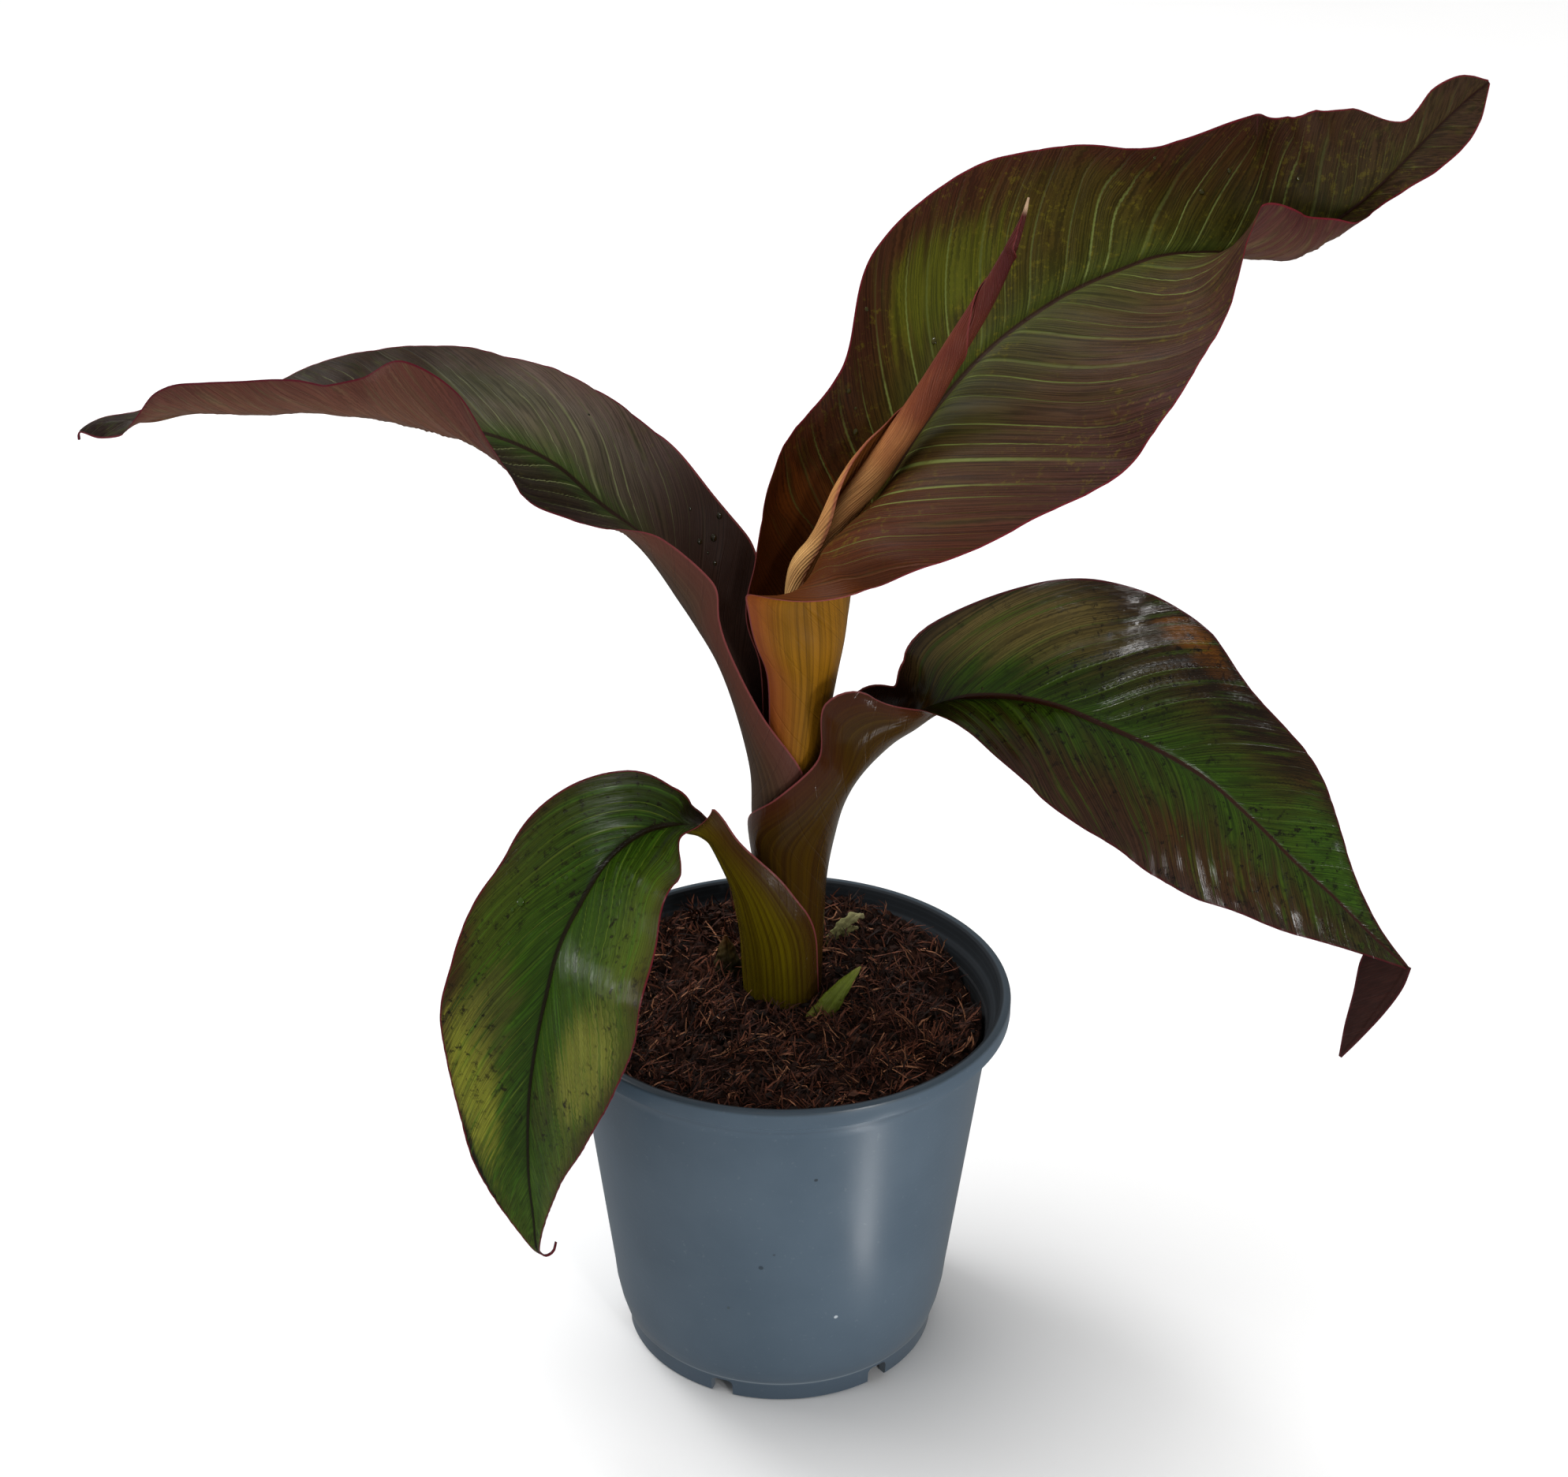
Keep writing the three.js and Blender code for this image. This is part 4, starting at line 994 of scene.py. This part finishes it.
def make_crumbs(random, lumps):
    """Lumps of peat that lie on the soil, joined into one mesh."""
    base, corners = ball(1)
    x, y = spread_over_soil(random, CRUMBS)
    keep = np.hypot(x - STEM[0], y - STEM[1]) > 13.0
    x, y = x[keep], y[keep]
    size = random.uniform(0.35, 1.25, len(x)) ** 1.3
    centre = np.stack([x, y, ground(lumps, x, y)[0] + 0.3 * size], -1)
    bumps = 1 + 0.35 * random.standard_normal((len(x), len(base), 1))
    stretch = random.uniform(0.6, 1.3, (len(x), 1, 3))
    shapes = centre[:, None] + size[:, None, None] * base[None] * bumps * stretch
    points, faces = join_copies(shapes, corners)
    materials = fibre_materials("peat", [(26, 15, 10), (48, 27, 19), (74, 44, 31)], 0.85)
    kinds = np.repeat(random.choice(3, len(x), p=[0.45, 0.38, 0.17]), len(corners))
    add_piece("peat_crumbs", points, faces, (), materials, kinds=kinds)


# Shoots

SHOOT_ROWS, SHOOT_SIDES = 60, 48

# Rows of [x, y, z, half width, half thickness, turn of the flat side in degrees]
SHOOTS = {}
SHOOTS["green_shoot"] = dict(
    slot="shoot", nodes=["green_shoot"], ragged=0.04, sheen=0.3,
    rows=[
        [9.5, -2.5, 101, 3.6, 1.9, 10], [12.3, -1.8, 105, 3.4, 1.7, 10],
        [15.2, -0.8, 109, 2.8, 1.4, 8], [18.3, 0.5, 112.8, 1.8, 1.0, 5],
        [20.9, 1.7, 115.5, 0.9, 0.6, 0], [22.3, 2.3, 116.9, 0.25, 0.2, 0],
    ],
    colours=[(0.0, (112, 108, 46)), (0.3, (92, 104, 26)), (0.7, (108, 122, 34)), (1.0, (142, 140, 70))],
)
SHOOTS["dry_shoot"] = dict(
    slot="cut_shoot", nodes=["cut_shoot"], ragged=0.2, sheen=0.1,
    rows=[
        [13.3, 32.6, 101, 2.2, 1.2, 60], [13.8, 33, 105, 2.3, 1.1, 50],
        [15.2, 33.6, 109, 1.9, 1.0, 30], [17.8, 34.4, 112, 1.6, 0.9, 10],
        [21.0, 35.4, 114.2, 1.5, 0.9, -10], [23.8, 36.2, 114.0, 0.9, 0.6, -20],
    ],
    colours=[(0.0, (70, 62, 34)), (0.3, (104, 102, 62)), (0.7, (128, 126, 84)), (1.0, (150, 142, 104))],
)
SHOOTS["dry_fork"] = dict(
    slot="cut_shoot", nodes=[], ragged=0.2, sheen=0.1,
    rows=[
        [17.0, 34, 109.5, 1.6, 0.9, 20], [19.6, 34.8, 110.6, 1.5, 0.8, 0],
        [22.0, 35.6, 110.2, 0.9, 0.6, -20],
    ],
    colours=[(0.0, (104, 102, 62)), (0.6, (120, 116, 74)), (1.0, (142, 134, 96))],
)
SHOOTS["bud"] = dict(
    slot="bud", nodes=["brown_bud"], ragged=0.08, sheen=0.15,
    rows=[
        [-15.6, 18.6, 100, 4.2, 3.4, 0], [-15.9, 19, 104, 4.2, 3.3, 6],
        [-16.2, 19.5, 109, 3.4, 2.7, 12], [-16.5, 20, 113, 2.0, 1.6, 18],
        [-16.7, 20.3, 116.2, 0.4, 0.4, 20],
    ],
    colours=[(0.0, (22, 22, 12)), (0.4, (36, 34, 18)), (0.75, (66, 52, 22)), (1.0, (86, 54, 24))],
)


def make_shoots():
    around = np.linspace(0, 2 * np.pi, SHOOT_SIDES, endpoint=False)[None, :]
    index = np.arange(SHOOT_ROWS * SHOOT_SIDES).reshape(SHOOT_ROWS, SHOOT_SIDES)
    faces = tube_quads(index).tolist() + [index[0, ::-1].tolist(), index[-1].tolist()]
    for name, shoot in SHOOTS.items():
        rows = np.array(shoot["rows"], dtype=float)
        height = np.linspace(0, len(rows) - 1, SHOOT_ROWS)[:, None]
        row = smooth_rows(rows, height[:, 0])
        run = unit(np.gradient(row[:, :3], axis=0))
        turn = np.radians(row[:, 5:6])
        flat = np.cos(turn) * [1.0, 0, 0] + np.sin(turn) * [0, 1.0, 0]
        flat = unit(flat - (flat * run).sum(1)[:, None] * run)
        deep = np.cross(run, flat)
        waves = np.sin(5 * height + 2 * around) + 0.6 * np.sin(13 * height - 3 * around)
        fold = 1 - 0.3 * np.exp(-(((around - 4.4 - 0.1 * height) / 0.22) ** 2))
        ribs = 1 + 0.03 * np.sin(12 * around)
        size = (1 + shoot["ragged"] * waves) * fold * ribs
        wide = (row[:, 3:4] * np.cos(around) * size)[..., None] * flat[:, None]
        thick = (row[:, 4:5] * np.sin(around) * size)[..., None] * deep[:, None]
        points = (row[:, None, :3] + wide + thick).reshape(-1, 3)
        fields = {"along": np.broadcast_to(height / (len(rows) - 1), size.shape),
                  "around": np.broadcast_to(np.abs(around - np.pi), size.shape)}
        s = Shader(name, shoot["sheen"])
        along, side = s.attribute("along"), s.attribute("around")
        mottle = s.noise(900.0, detail=4.0)
        lines = s.streaks(side, 14.0, along, 2.0)
        colour = s.ramp(s.add(along, s.mul(s.sub(mottle, 0.5), 0.4)), shoot["colours"])
        colour = s.tint(colour, s.step(lines, 0.55, 0.35), (30, 24, 10), 0.35)
        rough = s.add(0.4, s.mul(mottle, 0.3))
        material = s.finish(colour, rough, s.add(lines, mottle), 0.0003, 0.8)
        add_piece(name, points, faces, shoot["nodes"], [material], fields)


# Stage, lights and camera

IMAGE_WIDTH = 1988
FOCAL_PIXELS = 3400.0
CAMERA_PLACE = (3.4, -654.0, 512.0)
CAMERA_PITCH, CAMERA_YAW, CAMERA_ROLL = (math.radians(a) for a in (26.2, -0.3, 0.44))
FLOOR_HALF = 12.0
WORLD_COLOUR, WORLD_STRENGTH = (1.0, 0.99, 0.97, 1.0), 0.26
SUN_WAY, SUN_STRENGTH, SUN_ANGLE = (0.35, -0.22, -1.0), 2.9, 70
LOW_STRIP_TURN = 56

# Place, target, size and power of each area light, in metres and watts
AREA_LIGHTS = {
    "window": ((-1.0, 0.9, 1.7), (0, 0, 0.2), (0.5, 0.9), 13.0),
    "strip": ((0.66, -0.86, 0.16), (0, 0, 0.06), (0.05, 0.3), 3.4),
    "softbox": ((0.52, -1.19, 0.78), (0.1, 0, 0.18), (0.1, 0.16), 2.6),
    "low_strip": ((0.099, -0.097, 0.002), (0.099, -0.097, 1), (0.016, 0.095), 0.032),
    "side": ((-1.2, 0.34, 0.12), (-0.05, 0, 0.1), (0.08, 0.3), 1.4),
}


def make_camera():
    data = bpy.data.cameras.new("camera")
    data.sensor_width = 36.0
    data.lens = FOCAL_PIXELS / IMAGE_WIDTH * data.sensor_width
    camera = add_object("camera", data)
    level = math.cos(CAMERA_PITCH)
    east, north = math.sin(CAMERA_YAW), math.cos(CAMERA_YAW)
    forward = Vector((east * level, north * level, -math.sin(CAMERA_PITCH)))
    right = Vector((north, -east, 0))
    up = right.cross(forward)
    cos, sin = math.cos(CAMERA_ROLL), math.sin(CAMERA_ROLL)
    right, up = cos * right + sin * up, cos * up - sin * right
    turn = Matrix((right, up, -forward)).transposed().to_4x4()
    camera.matrix_world = Matrix.Translation(Vector(CAMERA_PLACE) * MM) @ turn
    bpy.context.scene.camera = camera


def add_light(data, power, way):
    data.energy = power
    light = add_object(data.name, data)
    light.rotation_euler = Vector(way).to_track_quat("-Z", "Y").to_euler()
    return light


def make_lights():
    world = bpy.data.worlds.new("world")
    world.use_nodes = True
    background = world.node_tree.nodes["Background"]
    background.inputs[0].default_value = WORLD_COLOUR
    background.inputs[1].default_value = WORLD_STRENGTH
    bpy.context.scene.world = world
    data = bpy.data.lights.new("sky", "SUN")
    data.angle = math.radians(SUN_ANGLE)
    add_light(data, SUN_STRENGTH, SUN_WAY).visible_glossy = False
    for name, (place, target, size, power) in AREA_LIGHTS.items():
        data = bpy.data.lights.new(name, "AREA")
        data.shape = "RECTANGLE"
        data.size, data.size_y = size
        light = add_light(data, power, Vector(target) - Vector(place))
        light.location = place
        if name == "low_strip":
            light.rotation_euler = (math.pi, 0, math.radians(LOW_STRIP_TURN))
            light.visible_camera = False
    bpy.context.scene.view_settings.view_transform = "Standard"


def make_floor():
    corners = [(x * FLOOR_HALF, y * FLOOR_HALF, 0) for x, y in ((-1, -1), (1, -1), (1, 1), (-1, 1))]
    mesh = bpy.data.meshes.new("floor")
    mesh.from_pydata(corners, [], [(0, 1, 2, 3)])
    floor = add_object("floor", mesh)
    floor.visible_glossy = False
    s = Shader("floor")
    colour = s.mix(s.noise(3.0), (0.86, 0.86, 0.86), (0.9, 0.9, 0.9))
    mesh.materials.append(s.finish(colour, 0.7))


random = np.random.default_rng(SEED)
make_camera()
make_floor()
make_lights()
make_pot()
lumps = random.uniform(LUMP_LOW, LUMP_HIGH, (LUMPS, 4))
make_soil(random, lumps)
make_fibres(random, lumps)
make_crumbs(random, lumps)
make_shoots()
make_leaves()
make_spear()
